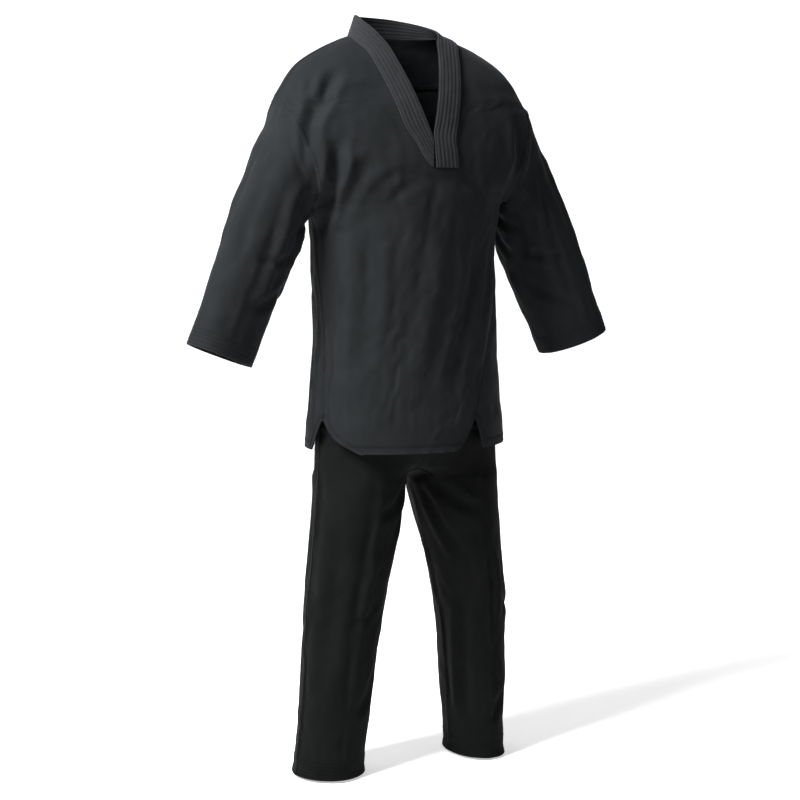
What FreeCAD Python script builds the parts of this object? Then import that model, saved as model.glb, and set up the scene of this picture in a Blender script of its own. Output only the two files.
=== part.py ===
import FreeCAD, Part
import math
import os
from FreeCAD import Vector

# Martial arts uniform: a V-neck pullover jacket worn over elasticated trousers, in millimetres.
# The origin is the middle of the trousers' waist opening. +X is the wearer's left,
# +Y the wearer's back and +Z up. Cloth is a closed solid of a panel's real outline and thickness.

# Cloth
CLOTH = 1.6            # thickness of a body panel
BAND_CLOTH = 2.4       # a folded and quilted band
LINING_CLOTH = 1.2     # tape, yoke and facing
GAP = 0.5              # clear space between neighbouring pieces
FAR = 1500.0           # longer than any cut needs

# Jacket body: height, half width, middle and half depth of each level, from hem to neck.
# Between armpit and shoulder point the levels run on past the armholes, which cut them off.
JACKET_LEVELS = [
    (-370, 200, 0, 150),
    (-309, 196, 0, 147),
    (-160, 185, 0, 138),
    (-20, 184, 0, 138),
    (70, 190, 0, 138),
    (118, 242, 0, 136),
    (169, 290, 0, 132),
    (218, 304, 0, 123),
    (268, 281, 4, 112),
    (300, 240, 9, 100),
    (338, 198, 17, 84),
    (368, 150, 24, 71),
    (394, 88, 30, 58),
]
JACKET_HEM = -370.0
VENT_TOP = -309.0
SIDE_SEAM_Y = 12.0

# Armholes: the highest and lowest point (x, z) of each slanting hole, its middle and half depth
ARMHOLE_TOP = (277.0, 268.0)
ARMHOLE_BOTTOM = (190.0, 70.0)
ARMHOLE_Y = 6.0
ARMHOLE_DEPTH = 80.0
ARMHOLE_CUT_UP = 200.0      # how far the cutting plane runs on from the highest point
ARMHOLE_CUT_DOWN = 230.0

# Neck, V opening and bands
NECK_HALF_WIDTH = 86.0
NECK_HALF_DEPTH = 60.0
NECK_Y = 30.0
NECK_BOTTOM = 300.0
COLLAR_BOTTOM = 388.0
COLLAR_TOP = 434.0
V_TOP = 386.0
V_BOTTOM = 202.0
V_HALF_WIDTH = 56.0
BAND_WIDTH = 45.0
BAND_BOTTOM = 149.0
YOKE_BOTTOM = 300.0
YOKE_HALF_WIDTH = 150.0
TAPE_HALF_WIDTH = 11.0
TAPE_ENDS = (98.0, 262.0)
TAPE_BOTTOM = 200.0

# Front tail: where its side vents stand round the hem, in degrees from the centre front
TAIL_MIDDLE = -26.0
TAIL_TOP_HALF = 50.0
TAIL_BOTTOM_HALF = 33.0
BACK_TOP_HALF = 51.0
BACK_BOTTOM_HALF = 58.0

# Sleeves: middle line from the armhole to the cuff, in the XZ plane
SHOULDER_MIDDLE = Vector(233.5, 6, 169)
CUFF_MIDDLE = Vector(374, 2, -188)
ELBOW_SHARE = 0.47
SLEEVE_ROOT_TOP = (328.0, 148.0)       # highest and lowest point (x, z) of the slanting ring
SLEEVE_ROOT_BOTTOM = (203.0, 38.0)     # below the armhole, and its half depth
SLEEVE_ROOT_DEPTH = 73.0
SLEEVE_WIDTHS = [(ELBOW_SHARE, 84, 64), (0.75, 79, 55), (1.0, 72, 54)]
SLEEVE_TURN = 24.0     # degrees that the sleeve's flat width turns forwards below the armhole
CUFF_FACING = 38.0

# Trousers: height, middle in x, half width and half depth of each level above the legs
HIP_LEVELS = [(-330, 4, 181, 118), (-160, 2, 171, 118), (-46, 0, 146, 108)]
WAIST_HALF_WIDTH = 145.0
WAIST_HALF_DEPTH = 107.0
WAISTBAND_HEIGHT = 44.0
TUNNEL_EDGE = 4.0      # sewn edge above and below the elastic's tunnel
ELASTIC_HEIGHT = 34.0
ELASTIC_CLOTH = 1.5
ELASTIC_OPEN = 62.0    # half width of the front stretch that has no elastic
LEG_TOP = -445.0
KNEE = -690.0
LEG_HEM = -990.0
LEG_CUFF_FACING = 36.0
GUSSET_HALF_WIDTH = 38.0
GUSSET_HALF_LENGTH = 60.0
GUSSET_TOP = -380.0

# Seat: height, middle in x, half width and half depth of each leg's root inside the hips
LEG_ROOT = [(-418, 90, 92, 108), (-310, 82, 94, 112)]

# Legs: height, middle in x, half width and half depth of each level, wearer's right and left
RIGHT_LEG = [(-445, 95, 88, 104), (-570, 110, 84, 92), (-690, 128, 77, 82), (-990, 160, 68, 72)]
LEFT_LEG = [(-445, 103, 88, 104), (-570, 126, 77, 94), (-690, 145, 70, 86), (-990, 156, 54, 80)]

# Drawcord eyelets in the waistband's front
EYELET_X = 28.0
EYELET_Z = -22.0
EYELET_HOLE = 4.0
EYELET_RADIUS = 5.5
EYELET_HALF_LENGTH = 6.0

POINTS_ROUND = 12
UP = Vector(0, 0, 1)


def ring(middle, across, deep, inset):
    """A smooth closed curve round middle, through the ends of two half-axis vectors."""
    across = across * (1 - inset / across.Length)
    deep = deep * (1 - inset / deep.Length)
    points = []
    for k in range(POINTS_ROUND):
        a = 2 * math.pi * k / POINTS_ROUND
        points.append(middle + across * math.cos(a) + deep * math.sin(a))
    curve = Part.BSplineCurve()
    marks = [k / POINTS_ROUND for k in range(POINTS_ROUND + 1)]
    curve.interpolate(Points=points, Parameters=marks, PeriodicFlag=True)
    return Part.Wire(curve.toShape())


def level_ring(x, y, z, half_width, half_depth, inset):
    return ring(Vector(x, y, z), Vector(half_width, 0, 0), Vector(0, half_depth, 0), inset)


def loft(rings, ruled=False):
    solid = Part.makeLoft(rings, True, ruled)
    if solid.Volume < 0:
        solid.reverse()
    return solid


def block(x0, x1, y0, y1, z0, z1):
    return Part.makeBox(x1 - x0, y1 - y0, z1 - z0, Vector(x0, y0, z0))


def prism(outline, direction):
    """A flat closed outline of 3-D points pushed along direction."""
    face = Part.Face(Part.makePolygon(outline + outline[:1]))
    return face.extrude(direction)


def one_solid(shape):
    """The largest solid of a cut, tidied."""
    solid = max(shape.Solids, key=lambda s: s.Volume)
    return solid.removeSplitter()


# Jacket

def jacket_fill(inset, over):
    """The whole jacket without sleeves as one filled solid, drawn in by inset."""
    z, half_width, y, half_depth = JACKET_LEVELS[0]
    levels = [level_ring(0, y, z - over, half_width, half_depth, inset)] if over else []
    for z, half_width, y, half_depth in JACKET_LEVELS:
        if z > ARMHOLE_BOTTOM[1]:
            z -= inset
        levels.append(level_ring(0, y, z, half_width, half_depth, inset))
    return loft(levels, True)


def jacket_skin(outside, inside):
    """A layer of the jacket between two depths, open at the hem and the armholes."""
    skin = jacket_fill(outside, 0).cut(jacket_fill(inside, 5))
    for side in (-1, 1):
        skin = skin.cut(beyond_armhole(side))
    return skin


def beyond_armhole(side, out=0.0, outwards=1):
    """Everything outside the slanting plane in which a sleeve is sewn on, or inside it for -1."""
    rise = Vector(side * (ARMHOLE_TOP[0] - ARMHOLE_BOTTOM[0]), 0,
                  ARMHOLE_TOP[1] - ARMHOLE_BOTTOM[1]).normalize()
    middle = Vector(side * (ARMHOLE_TOP[0] + out), -FAR, ARMHOLE_TOP[1])
    high = middle + rise * ARMHOLE_CUT_UP
    low = middle - rise * ARMHOLE_CUT_DOWN
    far = Vector(side * outwards * FAR, 0, 0)
    return prism([low, high, high + far, low + far], Vector(0, 2 * FAR, 0))


def slanting_ring(side, top, bottom, depth, inset, out=0.0):
    """A ring round a sleeve, through its highest and lowest point."""
    high = Vector(side * (top[0] + out), ARMHOLE_Y, top[1])
    low = Vector(side * (bottom[0] + out), ARMHOLE_Y, bottom[1])
    return ring((high + low) * 0.5, (high - low) * 0.5, Vector(0, depth, 0), inset)


def neck_cut():
    """What the neck hole and the V opening take out of the jacket."""
    hole = loft([level_ring(0, NECK_Y, z, NECK_HALF_WIDTH, NECK_HALF_DEPTH, 0)
                 for z in (NECK_BOTTOM, COLLAR_TOP + 20)])
    return hole.fuse(v_prism(0, V_BOTTOM))


def v_prism(widen, bottom):
    """The V opening pushed through the front, its edges moved outwards by widen."""
    slope = V_HALF_WIDTH / (V_TOP - V_BOTTOM)
    side = widen * math.sqrt(1 + slope * slope)
    above = COLLAR_TOP - V_TOP
    top = V_TOP + above
    half = V_HALF_WIDTH + side + above * slope
    low = V_BOTTOM - side / slope
    cut = prism([Vector(-half, 0, top), Vector(0, 0, low), Vector(half, 0, top)],
                Vector(0, -FAR, 0))
    cut.translate(Vector(0, NECK_Y, 0))
    return cut.common(block(-FAR, FAR, -FAR, NECK_Y, bottom, FAR))


def round_prism(top_half, bottom_half):
    """A wedge from the jacket's middle line, between the two vents, from vent top to hem."""
    rings = []
    for z, half in ((VENT_TOP - GAP, top_half), (JACKET_HEM - 10, bottom_half)):
        corner = [Vector(0, 0, z)]
        for share in (-1, 0, 1):
            corner.append(hem_direction(TAIL_MIDDLE + share * half) * FAR + UP * z)
        rings.append(Part.makePolygon(corner + corner[:1]))
    solid = Part.makeLoft(rings, True, True)
    if solid.Volume < 0:
        solid.reverse()
    return solid


def hem_direction(degrees):
    """Level direction from the middle to the hem's point at this angle round its ellipse."""
    z, half_width, y, half_depth = JACKET_LEVELS[0]
    a = math.radians(degrees)
    point = Vector(half_width * math.sin(a), -half_depth * math.cos(a), 0)
    return point.normalize()


def jacket_parts():
    body = jacket_skin(0, CLOTH).cut(neck_cut())
    upper = block(-FAR, FAR, -FAR, FAR, VENT_TOP, FAR)
    lower = block(-FAR, FAR, -FAR, FAR, JACKET_HEM, VENT_TOP - GAP)
    behind = block(-FAR, FAR, SIDE_SEAM_Y, FAR, VENT_TOP - 2 * GAP, FAR)
    before = block(-FAR, FAR, -FAR, SIDE_SEAM_Y - GAP, VENT_TOP, FAR)
    front = body.common(before)
    wrap = body.common(lower).cut(round_prism(BACK_TOP_HALF, BACK_BOTTOM_HALF))
    back = body.common(behind).fuse(wrap)
    tail = body.common(lower).common(round_prism(TAIL_TOP_HALF, TAIL_BOTTOM_HALF))
    parts = {
        "jacket_front": one_solid(front),
        "jacket_back": one_solid(back),
        "front_tail": one_solid(tail),
    }
    parts.update(band_parts())
    parts.update(lining_parts(upper))
    return parts


def band_parts():
    """The quilted band: two lapels laid on the front's V and a standing collar behind."""
    skin = jacket_skin(-GAP - BAND_CLOTH, -GAP)
    strip = skin.common(v_prism(BAND_WIDTH, BAND_BOTTOM)).cut(v_prism(0, V_BOTTOM - 1))
    strip = strip.common(block(-FAR, FAR, -FAR, NECK_Y - 18, BAND_BOTTOM, FAR))
    hole = loft([level_ring(0, NECK_Y, z, NECK_HALF_WIDTH, NECK_HALF_DEPTH, 0)
                 for z in (NECK_BOTTOM, COLLAR_TOP + 20)])
    strip = strip.cut(hole)
    right = strip.common(block(-FAR, -GAP / 2, -FAR, FAR, -FAR, FAR))
    left = strip.common(block(GAP / 2, FAR, -FAR, FAR, -FAR, FAR))
    wall = []
    for inset in (GAP, GAP + BAND_CLOTH):
        wall.append(loft([
            level_ring(0, NECK_Y, COLLAR_BOTTOM, NECK_HALF_WIDTH, NECK_HALF_DEPTH, inset),
            level_ring(0, NECK_Y - 3, COLLAR_TOP, NECK_HALF_WIDTH - 9, NECK_HALF_DEPTH - 3, inset),
        ]))
    collar = wall[0].cut(wall[1]).common(block(-FAR, FAR, NECK_Y - 16, FAR, 0, FAR))
    return {
        "right_lapel_band": one_solid(right),
        "left_lapel_band": one_solid(left),
        "collar_band": one_solid(collar),
    }


def lining_parts(upper):
    """Inside the jacket: the back yoke and a tape along each shoulder seam."""
    start = CLOTH + GAP
    skin = jacket_skin(start, start + LINING_CLOTH)
    hole = loft([level_ring(0, NECK_Y, z, NECK_HALF_WIDTH + 4, NECK_HALF_DEPTH + 4, 0)
                 for z in (NECK_BOTTOM, COLLAR_TOP + 20)])
    skin = skin.common(upper).cut(hole)
    first = SIDE_SEAM_Y + TAPE_HALF_WIDTH + GAP
    yoke = skin.common(block(-YOKE_HALF_WIDTH, YOKE_HALF_WIDTH, first, FAR, YOKE_BOTTOM, FAR))
    parts = {"back_yoke": one_solid(yoke)}
    for name, side in (("right", -1), ("left", 1)):
        low, high = sorted(x * side for x in TAPE_ENDS)
        tape = skin.common(block(low, high, SIDE_SEAM_Y - TAPE_HALF_WIDTH,
                                 SIDE_SEAM_Y + TAPE_HALF_WIDTH, TAPE_BOTTOM, FAR))
        parts[name + "_shoulder_tape"] = one_solid(tape)
    return parts


# Sleeves

def sleeve_ring(share, half_width, half_depth, side, inset, shift=0.0):
    """A ring square to the sleeve's middle line, this share of the way to the cuff."""
    line = CUFF_MIDDLE - SHOULDER_MIDDLE
    along = Vector(line).normalize()
    middle = SHOULDER_MIDDLE + line * share + along * shift
    square = Vector(-along.z, 0, along.x).normalize()
    turn = math.radians(SLEEVE_TURN) * min(1, share / ELBOW_SHARE)
    across = (square * math.cos(turn) - Vector(0, 1, 0) * math.sin(turn)) * half_width
    deep = (square * math.sin(turn) + Vector(0, 1, 0) * math.cos(turn)) * half_depth
    return ring(mirrored(middle, side), mirrored(across, side), mirrored(deep, side), inset)


def mirrored(v, side):
    return Vector(v.x * side, v.y, v.z)


def sleeve_parts(name, side):
    elbow, third, cuff = SLEEVE_WIDTHS
    solids = []
    for inset, over in ((0, 0), (CLOTH, 1)):
        upper = loft([slanting_ring(side, ARMHOLE_TOP, ARMHOLE_BOTTOM, ARMHOLE_DEPTH, inset,
                                    GAP - over),
                      slanting_ring(side, SLEEVE_ROOT_TOP, SLEEVE_ROOT_BOTTOM,
                                    SLEEVE_ROOT_DEPTH, inset),
                      sleeve_ring(*elbow, side, inset, -GAP / 2 + over)], True)
        lower = loft([sleeve_ring(*elbow, side, inset, GAP / 2 - over),
                      sleeve_ring(*third, side, inset), sleeve_ring(*cuff, side, inset, over)],
                     True)
        solids.append((upper, lower))
    length = (CUFF_MIDDLE - SHOULDER_MIDDLE).Length
    start = 1 - CUFF_FACING / length
    wide = third[1] + (cuff[1] - third[1]) * (start - third[0]) / (1 - third[0])
    deep = third[2] + (cuff[2] - third[2]) * (start - third[0]) / (1 - third[0])
    facing = []
    for more in (0, LINING_CLOTH):
        inset = CLOTH + 3 * GAP + more
        facing.append(loft([sleeve_ring(start, wide, deep, side, inset, -more),
                            sleeve_ring(*cuff, side, inset, -GAP + more)]))
    upper = solids[0][0].cut(solids[1][0]).cut(beyond_armhole(side, GAP, -1))
    low, high = sorted((0, side * (ARMHOLE_BOTTOM[0] + GAP)))
    upper = upper.cut(block(low, high, -FAR, FAR, -FAR, ARMHOLE_BOTTOM[1]))
    return {
        name + "_upper_sleeve": one_solid(upper),
        name + "_lower_sleeve": solids[0][1].cut(solids[1][1]),
        name + "_sleeve_cuff": facing[0].cut(facing[1]),
    }


# Trousers

def hip_form(inset, over):
    """The trousers between waistband and legs as one filled solid."""
    rings = [level_ring(x, 0, z, w, d, inset) for z, x, w, d in HIP_LEVELS[:-1]]
    z, x, w, d = HIP_LEVELS[-1]
    form = loft(rings + [level_ring(0, 0, z + over, w, d, inset)])
    for side, leg in ((-1, RIGHT_LEG), (1, LEFT_LEG)):
        z, x, w, d = leg[0]
        stub = [level_ring(side * x, 0, LEG_TOP + GAP / 2 - over, w, d, inset)]
        for z, x, w, d in LEG_ROOT:
            stub.append(level_ring(side * x, 0, z, w, d, inset))
        form = form.fuse(loft(stub))
    return form


def hip_parts():
    shell = hip_form(0, 0).cut(hip_form(CLOTH, 1))
    wide, long = GUSSET_HALF_WIDTH, GUSSET_HALF_LENGTH
    seat = block(-wide, wide, -long, long, -FAR, GUSSET_TOP)
    room = block(-wide - GAP, wide + GAP, -long - GAP, long + GAP, -FAR, GUSSET_TOP + GAP)
    parts = {"crotch_gusset": one_solid(shell.common(seat))}
    panels = shell.cut(room)
    for name, side in (("right", -1), ("left", 1)):
        low, high = sorted((side * GAP / 2, side * FAR))
        half = panels.common(block(low, high, -FAR, FAR, -FAR, FAR))
        fore = half.common(block(-FAR, FAR, -FAR, -GAP / 2, -FAR, FAR))
        aft = half.common(block(-FAR, FAR, GAP / 2, FAR, -FAR, FAR))
        parts[name + "_hip_front"] = one_solid(fore)
        parts[name + "_hip_back"] = one_solid(aft)
    return parts


def waist_ring(inset, z0, z1):
    return loft([level_ring(0, 0, z, WAIST_HALF_WIDTH, WAIST_HALF_DEPTH, inset)
                 for z in (z0, z1)])


def eyelet_cylinder(side, radius, half_length):
    """A round bar through the waistband's front, at an eyelet's place."""
    y = -WAIST_HALF_DEPTH * math.sqrt(1 - (EYELET_X / WAIST_HALF_WIDTH) ** 2)
    start = Vector(side * EYELET_X, y - half_length + CLOTH / 2, EYELET_Z)
    return Part.makeCylinder(radius, 2 * half_length, start, Vector(0, 1, 0))


def waist_parts():
    """A folded casing: a plain front with two eyelets, and a back and sides with an elastic."""
    room = ELASTIC_CLOTH + 2 * GAP
    low = -WAISTBAND_HEIGHT
    casing = waist_ring(0, low, 0).cut(waist_ring(2 * CLOTH + room, low - 1, 1))
    high = -TUNNEL_EDGE
    bottom = low + TUNNEL_EDGE
    tunnel = waist_ring(CLOTH, bottom, high).cut(waist_ring(CLOTH + room, low, 0))
    casing = casing.cut(tunnel)
    middle = low / 2
    elastic = waist_ring(CLOTH + GAP, middle - ELASTIC_HEIGHT / 2, middle + ELASTIC_HEIGHT / 2)
    elastic = elastic.cut(waist_ring(CLOTH + GAP + ELASTIC_CLOTH, low, 0))
    ends = ELASTIC_OPEN + 2 * GAP
    elastic = elastic.cut(block(-ends, ends, -FAR, 0, -FAR, FAR))
    rims = []
    for side in (-1, 1):
        casing = casing.cut(eyelet_cylinder(side, EYELET_RADIUS + GAP, 5 * EYELET_HALF_LENGTH))
        rim = eyelet_cylinder(side, EYELET_RADIUS, EYELET_HALF_LENGTH)
        rims.append(rim.cut(eyelet_cylinder(side, EYELET_HOLE, 2 * EYELET_HALF_LENGTH)))
    plain = block(-ELASTIC_OPEN, ELASTIC_OPEN, -FAR, 0, -FAR, FAR)
    room_for_plain = block(-ELASTIC_OPEN - GAP, ELASTIC_OPEN + GAP, -FAR, 0, -FAR, FAR)
    return {
        "waistband_front": one_solid(casing.common(plain)),
        "waistband_back": one_solid(casing.cut(room_for_plain)),
        "waist_elastic": one_solid(elastic),
        "drawcord_eyelets": Part.makeCompound(rims),
    }


def leg_form(leg, side, z0, z1, inset, over):
    """The stretch of a leg between two of its levels, as a filled solid."""
    z_high = leg[0][0]
    whole = loft([level_ring(side * x, 0, z, w, d, inset) for z, x, w, d in leg])
    ends = block(-FAR, FAR, -FAR, FAR, min(z0 + over, z_high + 1), z1)
    return whole.common(ends)


def leg_parts(name, side, leg):
    parts = {}
    for bone, z_high, z_low in (("thigh", LEG_TOP - GAP / 2, KNEE + GAP / 2),
                                ("shin", KNEE - GAP / 2, LEG_HEM)):
        tube = leg_form(leg, side, z_low, z_high, 0, 0)
        tube = tube.cut(leg_form(leg, side, z_low - 5, z_high + 5, CLOTH, 0))
        front = tube.common(block(-FAR, FAR, -FAR, -GAP / 2, -FAR, FAR))
        back = tube.common(block(-FAR, FAR, GAP / 2, FAR, -FAR, FAR))
        parts["%s_%s_front" % (name, bone)] = one_solid(front)
        parts["%s_%s_back" % (name, bone)] = one_solid(back)
    inset = CLOTH + GAP
    top = LEG_HEM + LEG_CUFF_FACING
    facing = leg_form(leg, side, LEG_HEM + GAP, top, inset, 0)
    facing = facing.cut(leg_form(leg, side, LEG_HEM - 5, top + 5, inset + LINING_CLOTH, 0))
    parts[name + "_leg_cuff"] = one_solid(facing)
    return parts


def main():
    os.makedirs("parts", exist_ok=True)
    parts = {}
    parts.update(waist_parts())
    parts.update(hip_parts())
    parts.update(leg_parts("right", -1, RIGHT_LEG))
    parts.update(leg_parts("left", 1, LEFT_LEG))
    parts.update(jacket_parts())
    parts.update(sleeve_parts("right", -1))
    parts.update(sleeve_parts("left", 1))
    for name, shape in sorted(parts.items()):
        print(name, "valid" if shape.isValid() else "INVALID", len(shape.Solids),
              round(shape.Volume / 1000, 1), "cm3")
        shape.exportStep("parts/%s.step" % name)


main()
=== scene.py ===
import math

import bpy
import numpy as np
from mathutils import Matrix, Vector, noise
from mathutils.bvhtree import BVHTree
from mathutils.kdtree import KDTree


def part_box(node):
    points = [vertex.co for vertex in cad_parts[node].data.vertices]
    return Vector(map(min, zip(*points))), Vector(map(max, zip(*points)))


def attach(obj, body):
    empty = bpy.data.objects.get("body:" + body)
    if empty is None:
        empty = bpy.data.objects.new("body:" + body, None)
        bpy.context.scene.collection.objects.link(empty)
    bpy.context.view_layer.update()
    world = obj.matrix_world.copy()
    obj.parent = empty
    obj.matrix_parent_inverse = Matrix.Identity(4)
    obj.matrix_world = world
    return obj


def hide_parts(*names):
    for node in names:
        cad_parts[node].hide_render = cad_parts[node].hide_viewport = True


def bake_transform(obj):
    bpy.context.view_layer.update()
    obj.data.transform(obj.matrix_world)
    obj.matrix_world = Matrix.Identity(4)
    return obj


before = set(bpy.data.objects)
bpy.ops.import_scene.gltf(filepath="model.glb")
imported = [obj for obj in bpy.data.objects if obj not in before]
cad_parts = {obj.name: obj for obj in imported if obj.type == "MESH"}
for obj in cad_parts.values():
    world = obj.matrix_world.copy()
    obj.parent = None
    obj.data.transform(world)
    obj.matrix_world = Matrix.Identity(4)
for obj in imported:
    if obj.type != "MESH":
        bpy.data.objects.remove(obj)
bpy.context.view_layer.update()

# A martial arts uniform: V-neck pullover jacket over elasticated trousers, in metres.
# +X is the wearer's left, +Y the wearer's back, +Z up.

rng = np.random.default_rng(7)

# Heights and places read from the frame
JACKET_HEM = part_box("jacket_back")[0].z
VENT_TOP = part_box("front_tail")[1].z
LEG_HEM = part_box("right_shin_front")[0].z

# Jacket body: height, half width, middle in y and half depth of each level
TRUNK = [
    (-0.370, 0.199, 0.000, 0.149),
    (-0.309, 0.195, 0.000, 0.146),
    (-0.160, 0.184, 0.000, 0.137),
    (-0.020, 0.183, 0.000, 0.137),
    (0.070, 0.190, 0.000, 0.137),
    (0.118, 0.236, 0.001, 0.135),
    (0.169, 0.274, 0.003, 0.131),
    (0.218, 0.282, 0.006, 0.122),
    (0.268, 0.260, 0.010, 0.111),
    (0.300, 0.239, 0.013, 0.100),
    (0.338, 0.208, 0.019, 0.084),
    (0.368, 0.156, 0.025, 0.071),
    (0.394, 0.088, 0.030, 0.058),
]
ARM_TOP = (0.260, 0.268)
ARM_LOW = (0.190, 0.070)
V_LOW = 0.202
V_TOP = 0.386
V_SLOPE = 0.304
NECK_TOP = 0.394
NECK_HALF = 0.087

# Where the side seams and the vents' two edges stand, in degrees round the body from the front
LEFT_SEAM = [(-0.309, 24.0), (-0.16, 46.0), (-0.02, 74.0), (0.070, 90.0)]
RIGHT_SEAM = [(-0.309, -76.0), (-0.16, -80.0), (-0.02, -86.0), (0.070, -90.0)]
LEFT_TAIL = [(-0.370, 10.0), (-0.345, 17.0), (-0.309, 24.0)]
RIGHT_TAIL = [(-0.370, -46.0), (-0.360, -56.0), (-0.345, -65.0), (-0.309, -76.0)]
LEFT_BACK = [(-0.370, 30.5), (-0.309, 24.0)]
RIGHT_BACK = [(-0.370, -88.0), (-0.309, -76.0)]

# Sleeves: share of the way to the cuff, middle (x, y, z), half width as a vector (x, z), half
# depth, and how far the flat width turns forwards, in degrees
SLEEVE = [
    (0.00, 0.2250, 0.0110, 0.169, 0.0350, 0.0990, 0.0800, 0),
    (0.24, 0.2580, 0.0080, 0.093, 0.0545, 0.0500, 0.0725, 8),
    (0.47, 0.2945, 0.0030, 0.001, 0.0740, 0.0290, 0.0635, 24),
    (0.75, 0.3360, -0.001, -0.099, 0.0720, 0.0283, 0.0545, 24),
    (1.00, 0.3740, -0.004, -0.188, 0.0665, 0.0262, 0.0535, 24),
]
# Straight line down the sleeve, by which its cloth is laid out
SLEEVE_TOP = np.array([0.2335, 0.0060, 0.1690])
SLEEVE_LINE = np.array([0.1405, -0.0040, -0.3570])
SLEEVE_MIDDLE_Y = 0.004
SLEEVE_RADIUS = 0.075
SLEEVE_LENGTH = 0.384
SLEEVE_SPLIT = 0.41

# Trousers: height, middle in x, half width and half depth round the hips
HIPS = [(-0.330, 0.007, 0.183, 0.120), (-0.160, 0.005, 0.173, 0.120),
        (-0.046, 0.000, 0.146, 0.108), (0.000, 0.000, 0.144, 0.106)]
CROTCH = -0.430
CROTCH_START = -0.300
# Legs: height, middle in x, half width and half depth
RIGHT_LEG = [(-0.990, 0.160, 0.067, 0.071), (-0.690, 0.128, 0.076, 0.081),
             (-0.570, 0.110, 0.083, 0.091), (-0.445, 0.095, 0.087, 0.103),
             (-0.300, 0.090, 0.090, 0.110)]
LEFT_LEG = [(-0.990, 0.156, 0.053, 0.079), (-0.690, 0.145, 0.069, 0.085),
            (-0.570, 0.126, 0.076, 0.093), (-0.445, 0.103, 0.087, 0.103),
            (-0.300, 0.095, 0.090, 0.110)]
LEG_SPLIT = -0.560

# Mesh steps
HALF_COLUMNS = 24
BACK_COLUMNS = 52
ARM_ROWS = 18
SLEEVE_RINGS = 32
LEG_COLUMNS = 44
CLOTH_THICK = 0.0018
BODY_INSET = 0.009
DRAPE = 0.45


def table_at(rows, key):
    """Values of a table at key, by monotone cubic interpolation along its first column."""
    data = np.array(rows)
    data = data[np.argsort(data[:, 0], kind="stable")]
    x, y = data[:, 0], data[:, 1:]
    step = np.diff(x)
    rise = np.diff(y, axis=0) / step[:, None]
    slope = np.zeros_like(y)
    slope[0], slope[-1] = rise[0], rise[-1]
    w1 = (2 * step[1:] + step[:-1])[:, None]
    w2 = (step[1:] + 2 * step[:-1])[:, None]
    same = rise[:-1] * rise[1:] > 0
    before = np.where(same, rise[:-1], 1)
    after = np.where(same, rise[1:], 1)
    slope[1:-1] = np.where(same, (w1 + w2) / (w1 / before + w2 / after), 0)
    key = np.clip(np.asarray(key, float), x[0], x[-1])
    i = np.clip(np.searchsorted(x, key) - 1, 0, len(step) - 1)
    t = ((key - x[i]) / step[i])[..., None]
    h = step[i][..., None]
    return ((1 + 2 * t) * (1 - t) ** 2 * y[i] + t * (1 - t) ** 2 * h * slope[i]
            + t * t * (3 - 2 * t) * y[i + 1] + t * t * (t - 1) * h * slope[i + 1])


def ease(x):
    x = np.clip(x, 0, 1)
    return x * x * (3 - 2 * x)


# Jacket body as grids of points

def trunk_points(z, degrees):
    """Points of the jacket's body at heights z and angles from the front."""
    shape = table_at(TRUNK, z)
    a = np.radians(degrees)
    sway = 0.004 * ease(-z / 0.15)
    return np.stack([sway + shape[..., 0] * np.sin(a), shape[..., 1] - shape[..., 2] * np.cos(a),
                     z + 0 * a], axis=-1)


def side_angle(z):
    """Angle of the armhole's edge or the shoulder's ridge, from 70 mm up."""
    half = table_at(TRUNK, z)[..., 0]
    share = (z - ARM_LOW[1]) / (ARM_TOP[1] - ARM_LOW[1])
    x = ARM_LOW[0] + share * (ARM_TOP[0] - ARM_LOW[0])
    inside = (z > ARM_LOW[1]) & (z < ARM_TOP[1])
    return np.where(inside, np.degrees(np.arcsin(np.clip(x / half, -1, 1))), 90.0)


def edge_angle(z, seam, tail):
    """Angle of a panel's side edge at every height, from neck to hem."""
    low = table_at(seam, z)[..., 0]
    free = table_at(tail, z)[..., 0]
    side = side_angle(z) * np.sign(seam[-1][1])
    return np.where(z >= ARM_LOW[1], side, np.where(z < VENT_TOP - 1e-4, free, low))


def v_angle(z):
    """Angle of the V opening's edge, or 0 below it."""
    half = table_at(TRUNK, z)[..., 0]
    x = V_SLOPE * np.clip(z - V_LOW, 0, V_TOP - V_LOW)
    flare = np.clip((z - V_TOP) / (NECK_TOP - V_TOP), 0, 1)
    x = x + flare * (NECK_HALF - x)
    return np.degrees(np.arcsin(np.clip(x / half, -1, 1)))


def centre_angle(z):
    """Angle of the front's middle line, which swings round with the tail."""
    middle = (table_at(LEFT_SEAM, z)[..., 0] + table_at(RIGHT_SEAM, z)[..., 0]) / 2
    return np.where(z < ARM_LOW[1], middle, 0.0)


def trunk_rows():
    top = np.concatenate([[NECK_TOP, 0.3915, 0.389], np.linspace(V_TOP, ARM_TOP[1], 11)[:-1]])
    j = np.arange(ARM_ROWS + 1) / ARM_ROWS
    fall = 0.5 * j + 0.25 * (1 - np.cos(math.pi * j))
    arm = ARM_TOP[1] + (ARM_LOW[1] - ARM_TOP[1]) * fall
    low = np.linspace(ARM_LOW[1], VENT_TOP, 32)[1:]
    tail = np.linspace(VENT_TOP, JACKET_HEM, 7)[1:]
    return np.concatenate([top, arm, low, tail]), len(top)


def lerp_columns(z, first, last, count):
    u = np.linspace(0, 1, count + 1)[None, :]
    angle = first[:, None] * (1 - u) + last[:, None] * u
    return trunk_points(np.repeat(z[:, None], count + 1, axis=1), angle)


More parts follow.
